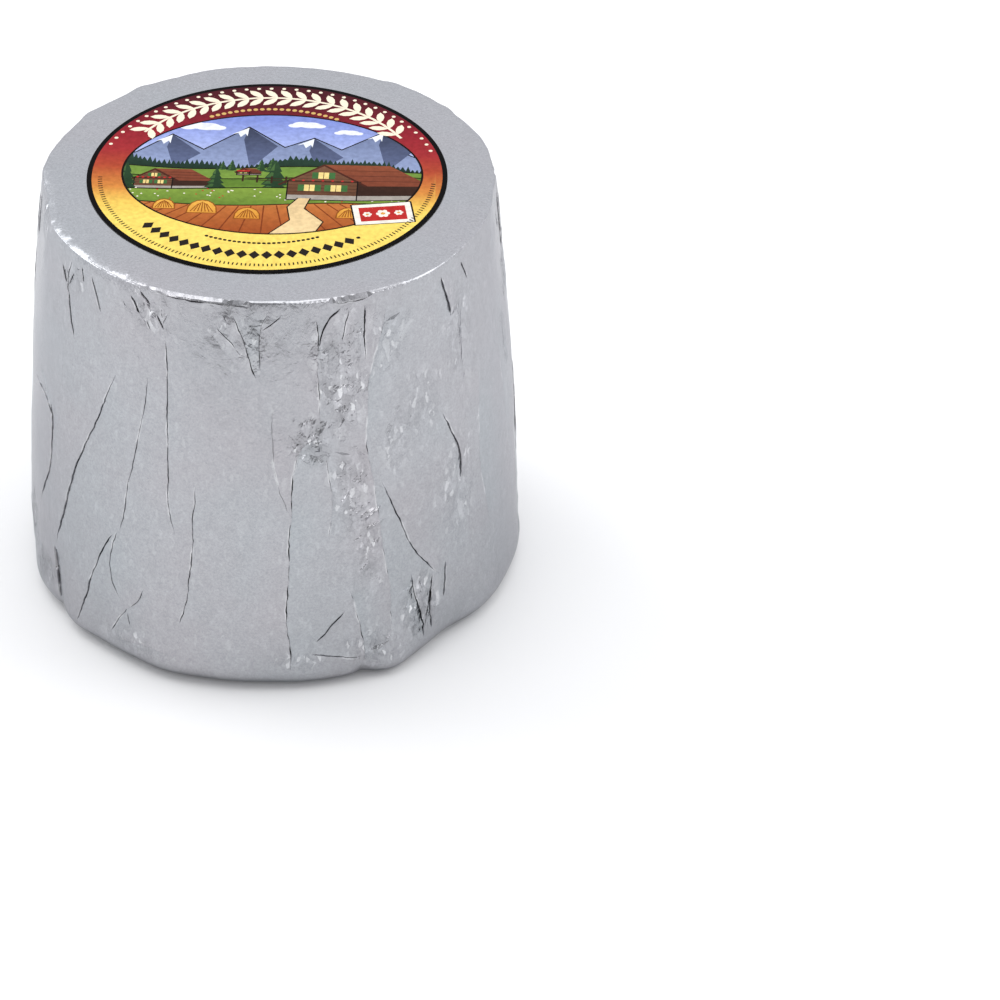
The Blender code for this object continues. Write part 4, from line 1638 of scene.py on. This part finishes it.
    def draw(self) -> list[Field]:
        """Draws the whole picture, from what is far to what is near."""
        self.fields.clear()
        self.clouds()
        self.mountains()
        self.forest()
        self.layer(rolling(2.6, 0.9, 8.0, 3.0), Ink.MEADOW_FAR)
        firs = ((-31, 1.0, 7), (-9.5, 1.4, 3.6), (-7.6, 1.1, 4.4), (-1.5, 1.0, 5), (0.8, 0.6, 6))
        for place in firs:
            self.fir(*place)
        self.chalet(-6.4, -0.4, 2.6)
        self.layer(rolling(-1.0, 1.1, 11.0, -6.0), Ink.MEADOW)
        self.chalet(-27.5, -6.4, 8.0)
        for place in ((-29.4, -7.5, 11), (-10.6, -6.2, 8.5), (1.6, -7.6, 13)):
            self.fir(*place)
        self.fence()
        self.layer(rolling(-5.8, 0.7, 9.0, 10.0), Ink.PASTURE)
        self.flowers()
        self.chalet(4.4, -9.6, 14.5)
        self.ground()
        stacks = ((-20.5, -14.2, 4.6), (-12.6, -15.6, 6.2), (-3.2, -17.4, 5.4), (17.5, -16.4, 5.0))
        for place in stacks:
            self.haycock(*place)
        self.card(24.6, -14.2, 12.0, 7.6)
        return self.fields

    def haycock(self, x: float, y: float, size: float) -> None:
        """Draws a cock of hay: a rounded heap with its outline and a few hanging blades."""
        half, tall = size / 2, 0.8 * size
        turns = [step * math.pi / 8 for step in range(9)]
        heap = [(x - half * math.cos(turn), y + tall * math.sin(turn) ** 0.8) for turn in turns]
        self.patch(Ink.HAY, *heap)
        self.stroke(Ink.HAY_SHADE, 0.8 * self.outline_width, *heap, heap[0])
        for blade in range(-3, 4):
            lean = blade / 3.4
            top = (x + lean * 0.35 * half, y + tall * (0.85 - 0.2 * abs(lean)))
            self.stroke(Ink.HAY_SHADE, 0.22, top, (x + lean * half * 0.85, y + 0.12 * tall))

    def card(self, x: float, y: float, width: float, height: float) -> None:
        """Draws a small pale card that lies askew over the picture's edge, with three rosettes."""
        turn = math.radians(9)

        cosine, sine = math.cos(turn), math.sin(turn)

        def place(ink: Ink, points: Iterable[Point]) -> None:
            """Prints a shape of the card, turned and set in its place."""
            corners = ((x + a * cosine - b * sine, y + a * sine + b * cosine) for a, b in points)
            self.patch(ink, *corners, over=True)

        for share, ink in ((1.06, Ink.KEYLINE), (1.0, Ink.CARD), (0.8, Ink.POPPY)):
            half, tall = width / 2 * share, height / 2 * (share if share > 0.9 else 0.7)
            place(ink, ((-half, -tall), (half, -tall), (half, tall), (-half, tall)))
        for side in (-0.27, 0.0, 0.27):
            size = 1.0 if side else 1.5
            for petal in range(6):
                angle = petal * math.pi / 3
                aside, up = size * 0.62 * math.cos(angle), size * 0.62 * math.sin(angle)
                petal_shape = ellipse(side * width + aside, up, 0.36 * size, 0.36 * size, 8)
                place(Ink.CARD, petal_shape)
            place(Ink.HAY, ellipse(side * width, 0, 0.3 * size, 0.3 * size, 8))


@dataclass(frozen=True)
class OrnamentRing:
    """Lays one printed ornament again and again round the label's border.

    A Geometry Nodes tree sets points on an arc, turns the ornament to face outwards at
    each, gives it a small turn by chance as in hand-cut blocks, and makes the copies real.

    Attributes:
        name: the name of the piece.
        motif: the ornament's outlines, x outwards and y along the ring.
        count: how many times it is repeated.
        radius: the ring's radius.
        arc: the first and last angle, in degrees from +X.
        finish: the ink.
        wobble: the most that a copy is turned by chance.
        thickness: how thick the ink lies.
    """

    name: str
    motif: Sequence[Sequence[Point]]
    count: int
    radius: float
    arc: Point
    finish: InkFinish
    wobble: float = 0.0
    thickness: float = 0.03

    def motif_object(self) -> Thing:
        """Makes one ornament as a thin flat solid."""
        mesh = bmesh.new()
        for outline in self.motif:
            corners = [mesh.verts.new((x * MM, y * MM, 0.0)) for x, y in outline]
            mesh.faces.new(corners)
        raised = bmesh.ops.extrude_face_region(mesh, geom=mesh.faces[:])
        top = [item for item in raised["geom"] if isinstance(item, bmesh.types.BMVert)]
        bmesh.ops.translate(mesh, verts=top, vec=(0.0, 0.0, self.thickness * MM))
        bmesh.ops.recalc_face_normals(mesh, faces=mesh.faces[:])
        return make_object(self.name + "_motif", mesh, [])

    def tree(self, material: Material, kinds: dict[str, str]) -> bpy.types.NodeTree:
        """Builds the tree that repeats the ornament.

        Args:
            material: the ink that the copies get.
            kinds: the kind of each of its named inputs.

        Returns:
            The tree.
        """
        tree = bpy.data.node_groups.new(self.name + "_ring", "GeometryNodeTree")
        for name, kind in kinds.items():
            tree.interface.new_socket(name, in_out="INPUT", socket_type="NodeSocket" + kind)
        tree.interface.new_socket("Geometry", in_out="OUTPUT", socket_type="NodeSocketGeometry")
        kit = NodeKit(tree)
        given = kit.add("NodeGroupInput")
        sizes = {
            "Resolution": given["Count"],
            "Radius": given["Radius"],
            "Start Angle": given["Start"],
            "Sweep Angle": given["Sweep"],
        }
        arc = kit.add("GeometryNodeCurveArc", sizes, mode="RADIUS")["Curve"]
        points = kit.add("GeometryNodeCurveToPoints", {"Curve": arc}, mode="EVALUATED")["Points"]
        position = kit.add("GeometryNodeInputPosition")[0]
        place = kit.add("ShaderNodeSeparateXYZ", {"Vector": position})
        outwards = kit.math("ARCTAN2", place["Y"], place["X"])
        least = kit.math("MULTIPLY", given["Wobble"], -1.0)
        limits = {2: least, 3: given["Wobble"], "Seed": given["Seed"]}
        chance = kit.add("FunctionNodeRandomValue", limits, data_type="FLOAT")[1]
        turn = kit.math("ADD", outwards, chance)
        rotation = kit.add("ShaderNodeCombineXYZ", {"Z": turn})["Vector"]
        motif = kit.add("GeometryNodeObjectInfo", {"Object": given["Motif"]})["Geometry"]
        placed = {"Points": points, "Instance": motif, "Rotation": rotation}
        copies = kit.add("GeometryNodeInstanceOnPoints", placed)[0]
        real = kit.add("GeometryNodeRealizeInstances", {"Geometry": copies})[0]
        inked = kit.add("GeometryNodeSetMaterial", {"Geometry": real, "Material": material})[0]
        kit.add("NodeGroupOutput", {"Geometry": inked})
        return tree

    def build(self, seed: int) -> Thing:
        """Repeats the ornament round a level ring about the origin.

        Args:
            seed: the seed of the copies' small turns.

        Returns:
            The ring, still to be laid on the label.
        """
        material = self.finish.make()
        motif = self.motif_object()
        start, end = (math.radians(angle) for angle in self.arc)
        inputs = {
            "Motif": ("Object", motif),
            "Count": ("Int", self.count),
            "Radius": ("Float", self.radius * MM),
            "Start": ("Float", start),
            "Sweep": ("Float", end - start),
            "Wobble": ("Float", math.radians(self.wobble)),
            "Seed": ("Int", seed),
        }
        carrier = make_object(self.name + "_carrier", bmesh.new(), [material])
        modifier = carrier.modifiers.new("ring", "NODES")
        tree = self.tree(material, {name: kind for name, (kind, _) in inputs.items()})
        modifier.node_group = tree
        for item in tree.interface.items_tree:
            if item.in_out == "INPUT":
                modifier[item.identifier] = inputs[item.name][1]
        carrier.update_tag()
        graph = bpy.context.evaluated_depsgraph_get()
        data = bpy.data.meshes.new_from_object(carrier.evaluated_get(graph))
        data.name = self.name
        ring = bpy.data.objects.new(self.name, data)
        bpy.context.scene.collection.objects.link(ring)
        for helper in (carrier, motif):
            bpy.data.objects.remove(helper)
        return ring


LEAF_SIDE = (
    ((0.0, 0.0), (0.45, 0.75), (0.75, 1.7), (0.75, 2.7))
    + ((0.35, 3.7), (-0.25, 2.9), (-0.45, 1.9), (-0.4, 0.9))
)


def leaf(tilt: float, length: float, shift: Point) -> tuple[Point, ...]:
    """Gives the outline of one leaf, grown from a point of the stem.

    Args:
        tilt: its turn from the stem's direction, in degrees, outwards if positive.
        length: its length.
        shift: where on the stem it grows.

    Returns:
        The leaf's corners.
    """
    scale = length / LEAF_SIDE[4][1]
    turn = math.radians(-tilt)
    side = 1.0 if tilt > 0 else -1.0
    corners = [(side * x * scale * 1.25, y * scale) for x, y in LEAF_SIDE]
    turned_corners = [
        (
            shift[0] + x * math.cos(turn) - y * math.sin(turn),
            shift[1] + x * math.sin(turn) + y * math.cos(turn),
        )
        for x, y in corners
    ]
    return tuple(turned_corners)


@dataclass
class Label:
    """The round paper label: its sheet, its printed picture and its border.

    Attributes:
        radius: the label's radius.
        thickness: how thick the paper is.
        lift: how far the paper's underside lies above the foil, with its paste.
        rim_line: the width of the black line round its edge.
        picture_line: the width of the black line round the picture.
        grid: how finely the sheet is divided, which the colours' runs follow.
    """

    radius: float = 37.5
    thickness: float = 0.08
    lift: float = 0.03
    rim_line: float = 1.05
    picture_line: float = 0.45
    grid: float = 1.6
    picture: Landscape = field(default_factory=Landscape)
    finish: PrintFinish = field(default_factory=PrintFinish)

    def in_window(self, x: float, y: float, margin: float = 0.0) -> bool:
        """Whether a place on the label lies in the picture's window."""
        across = (x - self.picture.middle[0]) / (self.picture.half_width + margin)
        up = (y - self.picture.middle[1]) / (self.picture.half_height + margin)
        return across * across + up * up < 1

    def ink_at(self, x: float, y: float, top_field: Field | None) -> Ink:
        """The ink at a place: the rim's, the border's, the keyline's or the picture's."""
        if top_field and top_field.over:
            return top_field.ink
        if self.in_window(x, y):
            return top_field.ink if top_field else Ink.SKY
        if self.in_window(x, y, self.picture_line):
            return Ink.KEYLINE
        return Ink.RIM if math.hypot(x, y) > self.radius - self.rim_line else Ink.BORDER

    def print_layout(self) -> tuple[list[Point], list[Sequence[int]], list[Field | None]]:
        """Divides the sheet along the edges of all printed shapes.

        Returns:
            The points, the triangles' corners, and the topmost shape over each triangle.
        """
        shapes = self.picture.draw()
        points: list[Point] = []
        loops: list[list[int]] = []
        oval = (self.picture.half_width, self.picture.half_height)
        for corners in (
            ellipse(0, 0, self.radius, self.radius, 180),
            ellipse(0, 0, self.radius - self.rim_line, self.radius - self.rim_line, 180),
            ellipse(*self.picture.middle, *(half + self.picture_line for half in oval), 120),
            ellipse(*self.picture.middle, *oval, 120),
            *(shape.corners for shape in shapes),
        ):
            x, y = np.array(corners).T
            area = float(np.sum(x * np.roll(y, -1) - y * np.roll(x, -1)))
            ordered = corners if area > 0 else tuple(reversed(corners))
            loops.append(list(range(len(points), len(points) + len(ordered))))
            points += ordered
        frames = 4
        steps = int(self.radius / self.grid)
        for row in range(-steps, steps + 1):
            for column in range(-steps, steps + 1):
                x = (column + 0.5 * (row % 2)) * self.grid
                y = row * self.grid * 0.9
                if math.hypot(x, y) < self.radius - self.rim_line - 0.5:
                    points.append((x, y))
        result = delaunay_2d_cdt([Vector(point) for point in points], [], loops, 0, FUSE_MM, True)
        places = [(vertex.x, vertex.y) for vertex in result[0]]
        tops = []
        for origins in result[5]:
            number = max((n for n in origins if n >= frames), default=-1)
            tops.append(shapes[number - frames] if number >= 0 else None)
        return places, result[2], tops

    def face_height(self, x: float, y: float) -> float:
        """How far the printed face lies above the paper's level: it is slightly wavy inside."""
        from_edge = self.radius - math.hypot(x, y)
        wave = 0.05 + 0.05 * noise.noise(Vector((x / 16, y / 16, 0.5)))
        return wave * min(1.0, max(0.0, from_edge) / 6)

    def build_sheet(self, middle: Vector) -> Thing:
        """Builds the paper with its print.

        Args:
            middle: the middle of the paper's underside, in metres.

        Returns:
            The finished piece, at the origin.
        """
        places, triangles, tops = self.print_layout()
        mesh = bmesh.new()
        inks = mesh.loops.layers.float_color.new("print")
        vertices = []
        for x, y in places:
            height = self.thickness + self.face_height(x, y)
            vertices.append(mesh.verts.new(middle + Vector((x, y, height)) * MM))
        for triangle, shape in zip(triangles, tops):
            corners = [places[index] for index in triangle]
            x = sum(corner[0] for corner in corners) / 3
            y = sum(corner[1] for corner in corners) / 3
            if math.hypot(x, y) > self.radius:
                continue
            ink = self.ink_at(x, y, shape)
            face = mesh.faces.new([vertices[index] for index in triangle])
            for loop, corner in zip(face.loops, corners):
                loop[inks] = ink.at(corner[1])
        unused = [vertex for vertex in mesh.verts if not vertex.link_faces]
        bmesh.ops.delete(mesh, geom=unused, context="VERTS")
        printed = set(mesh.faces)
        edge = [item for item in mesh.edges if item.is_boundary]
        sides = bmesh.ops.extrude_edge_only(mesh, edges=edge)
        lowered = [item for item in sides["geom"] if isinstance(item, bmesh.types.BMVert)]
        for vertex in lowered:
            vertex.co.z = middle.z
        rim_edges = [item for item in sides["geom"] if isinstance(item, bmesh.types.BMEdge)]
        bmesh.ops.contextual_create(mesh, geom=[item for item in rim_edges if item.is_boundary])
        back = linear("#E8E2D2")
        edge_ink = Ink.RIM.at(0.0)
        for face in set(mesh.faces) - printed:
            for loop in face.loops:
                loop[inks] = back if len(face.verts) > 4 else edge_ink
        bmesh.ops.recalc_face_normals(mesh, faces=mesh.faces[:])
        sheet = make_object("label_sheet", mesh, [self.finish.make()])
        sheet.data.shade_smooth()
        sheet.data.set_sharp_from_angle(angle=math.radians(30))
        return sheet

    def build_border(self, middle: Vector) -> list[Thing]:
        """Sets the border's ornaments: leaves and beads above, lozenges and ticks below.

        Args:
            middle: the middle of the printed face, in metres.

        Returns:
            The finished pieces.
        """
        cream = InkFinish("cream_ink", "#EFE3CC", roughness=0.5)
        bronze = InkFinish("bronze_ink", "#D9B46A", metallic=0.6, roughness=0.35)
        dark = InkFinish("dark_ink", "#1B1410", roughness=0.45)
        stem = ((-0.3, -1.7), (0.3, -1.7), (0.3, 1.7), (-0.3, 1.7))
        leaves = (leaf(38, 4.1, (0.25, 0.0)), leaf(-38, 4.1, (-0.25, 0.0)), stem)
        bead, berry, dot = (
            (ellipse(0, 0, *size),) for size in ((0.5, 0.5, 14), (0.42, 0.42, 12), (0.34, 0.4, 10))
        )
        diamond = ((-1.5, 0.0), (0.0, -1.15), (1.5, 0.0), (0.0, 1.15))
        lozenge = (diamond, ellipse(0, 2.2, 0.42, 0.42, 12))
        tick = (((-0.45, -0.13), (0.45, -0.13), (0.45, 0.13), (-0.45, 0.13)),)
        rings = (
            OrnamentRing("label_garland", leaves, 21, 31.4, (33, 146), cream, 2.0),
            OrnamentRing("label_beads", bead, 21, 26.6, (60, 120), bronze),
            OrnamentRing("label_berries", berry, 34, 35.4, (18, 162), cream),
            OrnamentRing("label_lozenges", lozenge, 19, 31.0, (222, 306), dark, 2.0),
            OrnamentRing("label_dots", dot, 24, 26.6, (246, 296), dark),
            OrnamentRing("label_ticks", tick, 120, 34.7, (184, 356), dark, 6.0),
        )
        pieces = [ring.build(seed) for seed, ring in enumerate(rings)]
        for piece in pieces:
            for vertex in piece.data.vertices:
                x, y, rise = (value / MM for value in vertex.co)
                height = rise + self.face_height(x, y)
                vertex.co = middle + Vector((x, y, height)) * MM
        return pieces


@dataclass
class Studio:
    """The plain pale floor, the soft lights and the camera.

    Attributes:
        floor_half: half the width of the floor, in metres.
        floor_front: how far in front of the wheel the floor ends, in metres.
        sky: the colour of the pale room behind.
        sky_strength: its strength behind.
        dim_strength: the strength of the dim room in front.
        dimming: how far behind or in front the room starts and ends growing brighter.
        side_share: how much a way to the side counts as a way behind.
        eye: the camera's place, in metres.
        pitch: how far it looks down.
        roll: how far it is tipped.
        lens: its focal length for a 36 mm wide picture.
    """

    floor_half: float = 3.0
    floor_front: float = 0.38
    sky: str = "#F7F8FB"
    sky_strength: float = 1.22
    dim_strength: float = 0.28
    dimming: Point = (-0.85, 0.15)
    side_share: float = 0.45
    eye: tuple[float, float, float] = (0.0494, -0.6599, 0.4989)
    pitch: float = 36.41
    roll: float = 1.27
    lens: float = 133.52

    def build_floor(self) -> Thing:
        """Lays the table top that the wheel stands on, which ends a little way in front."""
        mesh = bmesh.new()
        bmesh.ops.create_grid(mesh, x_segments=1, y_segments=1, size=self.floor_half)
        forward = self.floor_half - self.floor_front
        bmesh.ops.translate(mesh, verts=mesh.verts[:], vec=(0.0, forward, 0.0))
        floor = make_object("studio_floor", mesh, [StudioFinish().make()])
        return floor

    def build_lights(self) -> None:
        """Hangs the key light behind on the left, and weaker lights overhead and in front."""
        for name, place, size, power in (
            ("key_light", (-0.75, 0.42, 0.90), 0.8, 3.8),
            ("overhead_light", (0.0, -0.10, 1.25), 0.9, 3.0),
            ("right_light", (0.90, 0.05, 0.90), 0.7, 2.4),
            ("low_left_light", (-0.85, -0.95, 0.25), 0.4, 1.0),
            ("low_right_light", (0.55, -1.10, 0.20), 0.3, 0.7),
            ("low_front_light", (-0.10, -1.20, 0.40), 0.25, 0.4),
        ):
            lamp = bpy.data.lights.new(name, "AREA")
            lamp.shape = "DISK"
            lamp.size = size
            lamp.energy = power
            light = bpy.data.objects.new(name, lamp)
            light.location = place
            aim = Vector((0.0, 0.0, 0.05)) - Vector(place)
            light.rotation_mode = "QUATERNION"
            light.rotation_quaternion = aim.to_track_quat("-Z", "Y")
            bpy.context.scene.collection.objects.link(light)

    def build_room(self) -> None:
        """Sets the room: a plain pale backdrop, which the foil mirrors dimmer in front."""
        world = bpy.data.worlds.new("soft_room")
        world.use_nodes = True
        kit = NodeKit(world.node_tree)
        toward = kit.add("ShaderNodeTexCoord")["Generated"]
        way = kit.add("ShaderNodeSeparateXYZ", {"Vector": toward})
        away = kit.math("MULTIPLY_ADD", kit.math("ABSOLUTE", way["X"]), self.side_share, way["Y"])
        strength = kit.spread(away, (self.dim_strength, self.sky_strength), self.dimming)
        seen = kit.add("ShaderNodeLightPath")["Is Camera Ray"]
        kit.fill(
            kit.tree.nodes["Background"],
            {"Color": linear(self.sky), "Strength": kit.math("MAXIMUM", strength, seen)},
        )
        bpy.context.scene.world = world

    def build_camera(self) -> None:
        """Sets the camera where the picture was taken from."""
        data = bpy.data.cameras.new("camera")
        data.sensor_width = 36.0
        data.sensor_fit = "HORIZONTAL"
        data.lens = self.lens
        data.clip_start, data.clip_end = 0.01, 50.0
        camera = bpy.data.objects.new("camera", data)
        tilt = Matrix.Rotation(math.radians(90 - self.pitch), 4, "X")
        roll = Matrix.Rotation(math.radians(self.roll), 4, "Z")
        camera.matrix_world = Matrix.Translation(self.eye) @ tilt @ roll
        bpy.context.scene.collection.objects.link(camera)
        bpy.context.scene.camera = camera


def main() -> None:
    """Builds the foil and the label on the frame, and the studio round them."""
    logging.basicConfig(level=logging.INFO, format="%(name)s: %(message)s")
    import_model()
    bpy.context.scene.view_settings.view_transform = "Standard"

    studio = Studio()
    studio.build_camera()
    studio.build_floor()
    studio.build_lights()
    studio.build_room()

    foil = FoilWrap().build()
    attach(foil, "root")
    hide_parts("foil_wrapped_cheese")
    log.info("%s: %d faces", foil.name, len(foil.data.polygons))

    label = Label()
    low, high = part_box("label")
    foil_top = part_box("foil_wrapped_cheese")[1].z
    middle = Vector(((low.x + high.x) / 2, (low.y + high.y) / 2, foil_top + label.lift * MM))
    sheet = label.build_sheet(middle)
    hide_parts("label")
    face = middle + Vector((0.0, 0.0, label.thickness * MM))
    for piece in (sheet, *label.build_border(face)):
        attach(piece, "root")
        log.info("%s: %d faces", piece.name, len(piece.data.polygons))


if __name__ == "__main__":
    main()
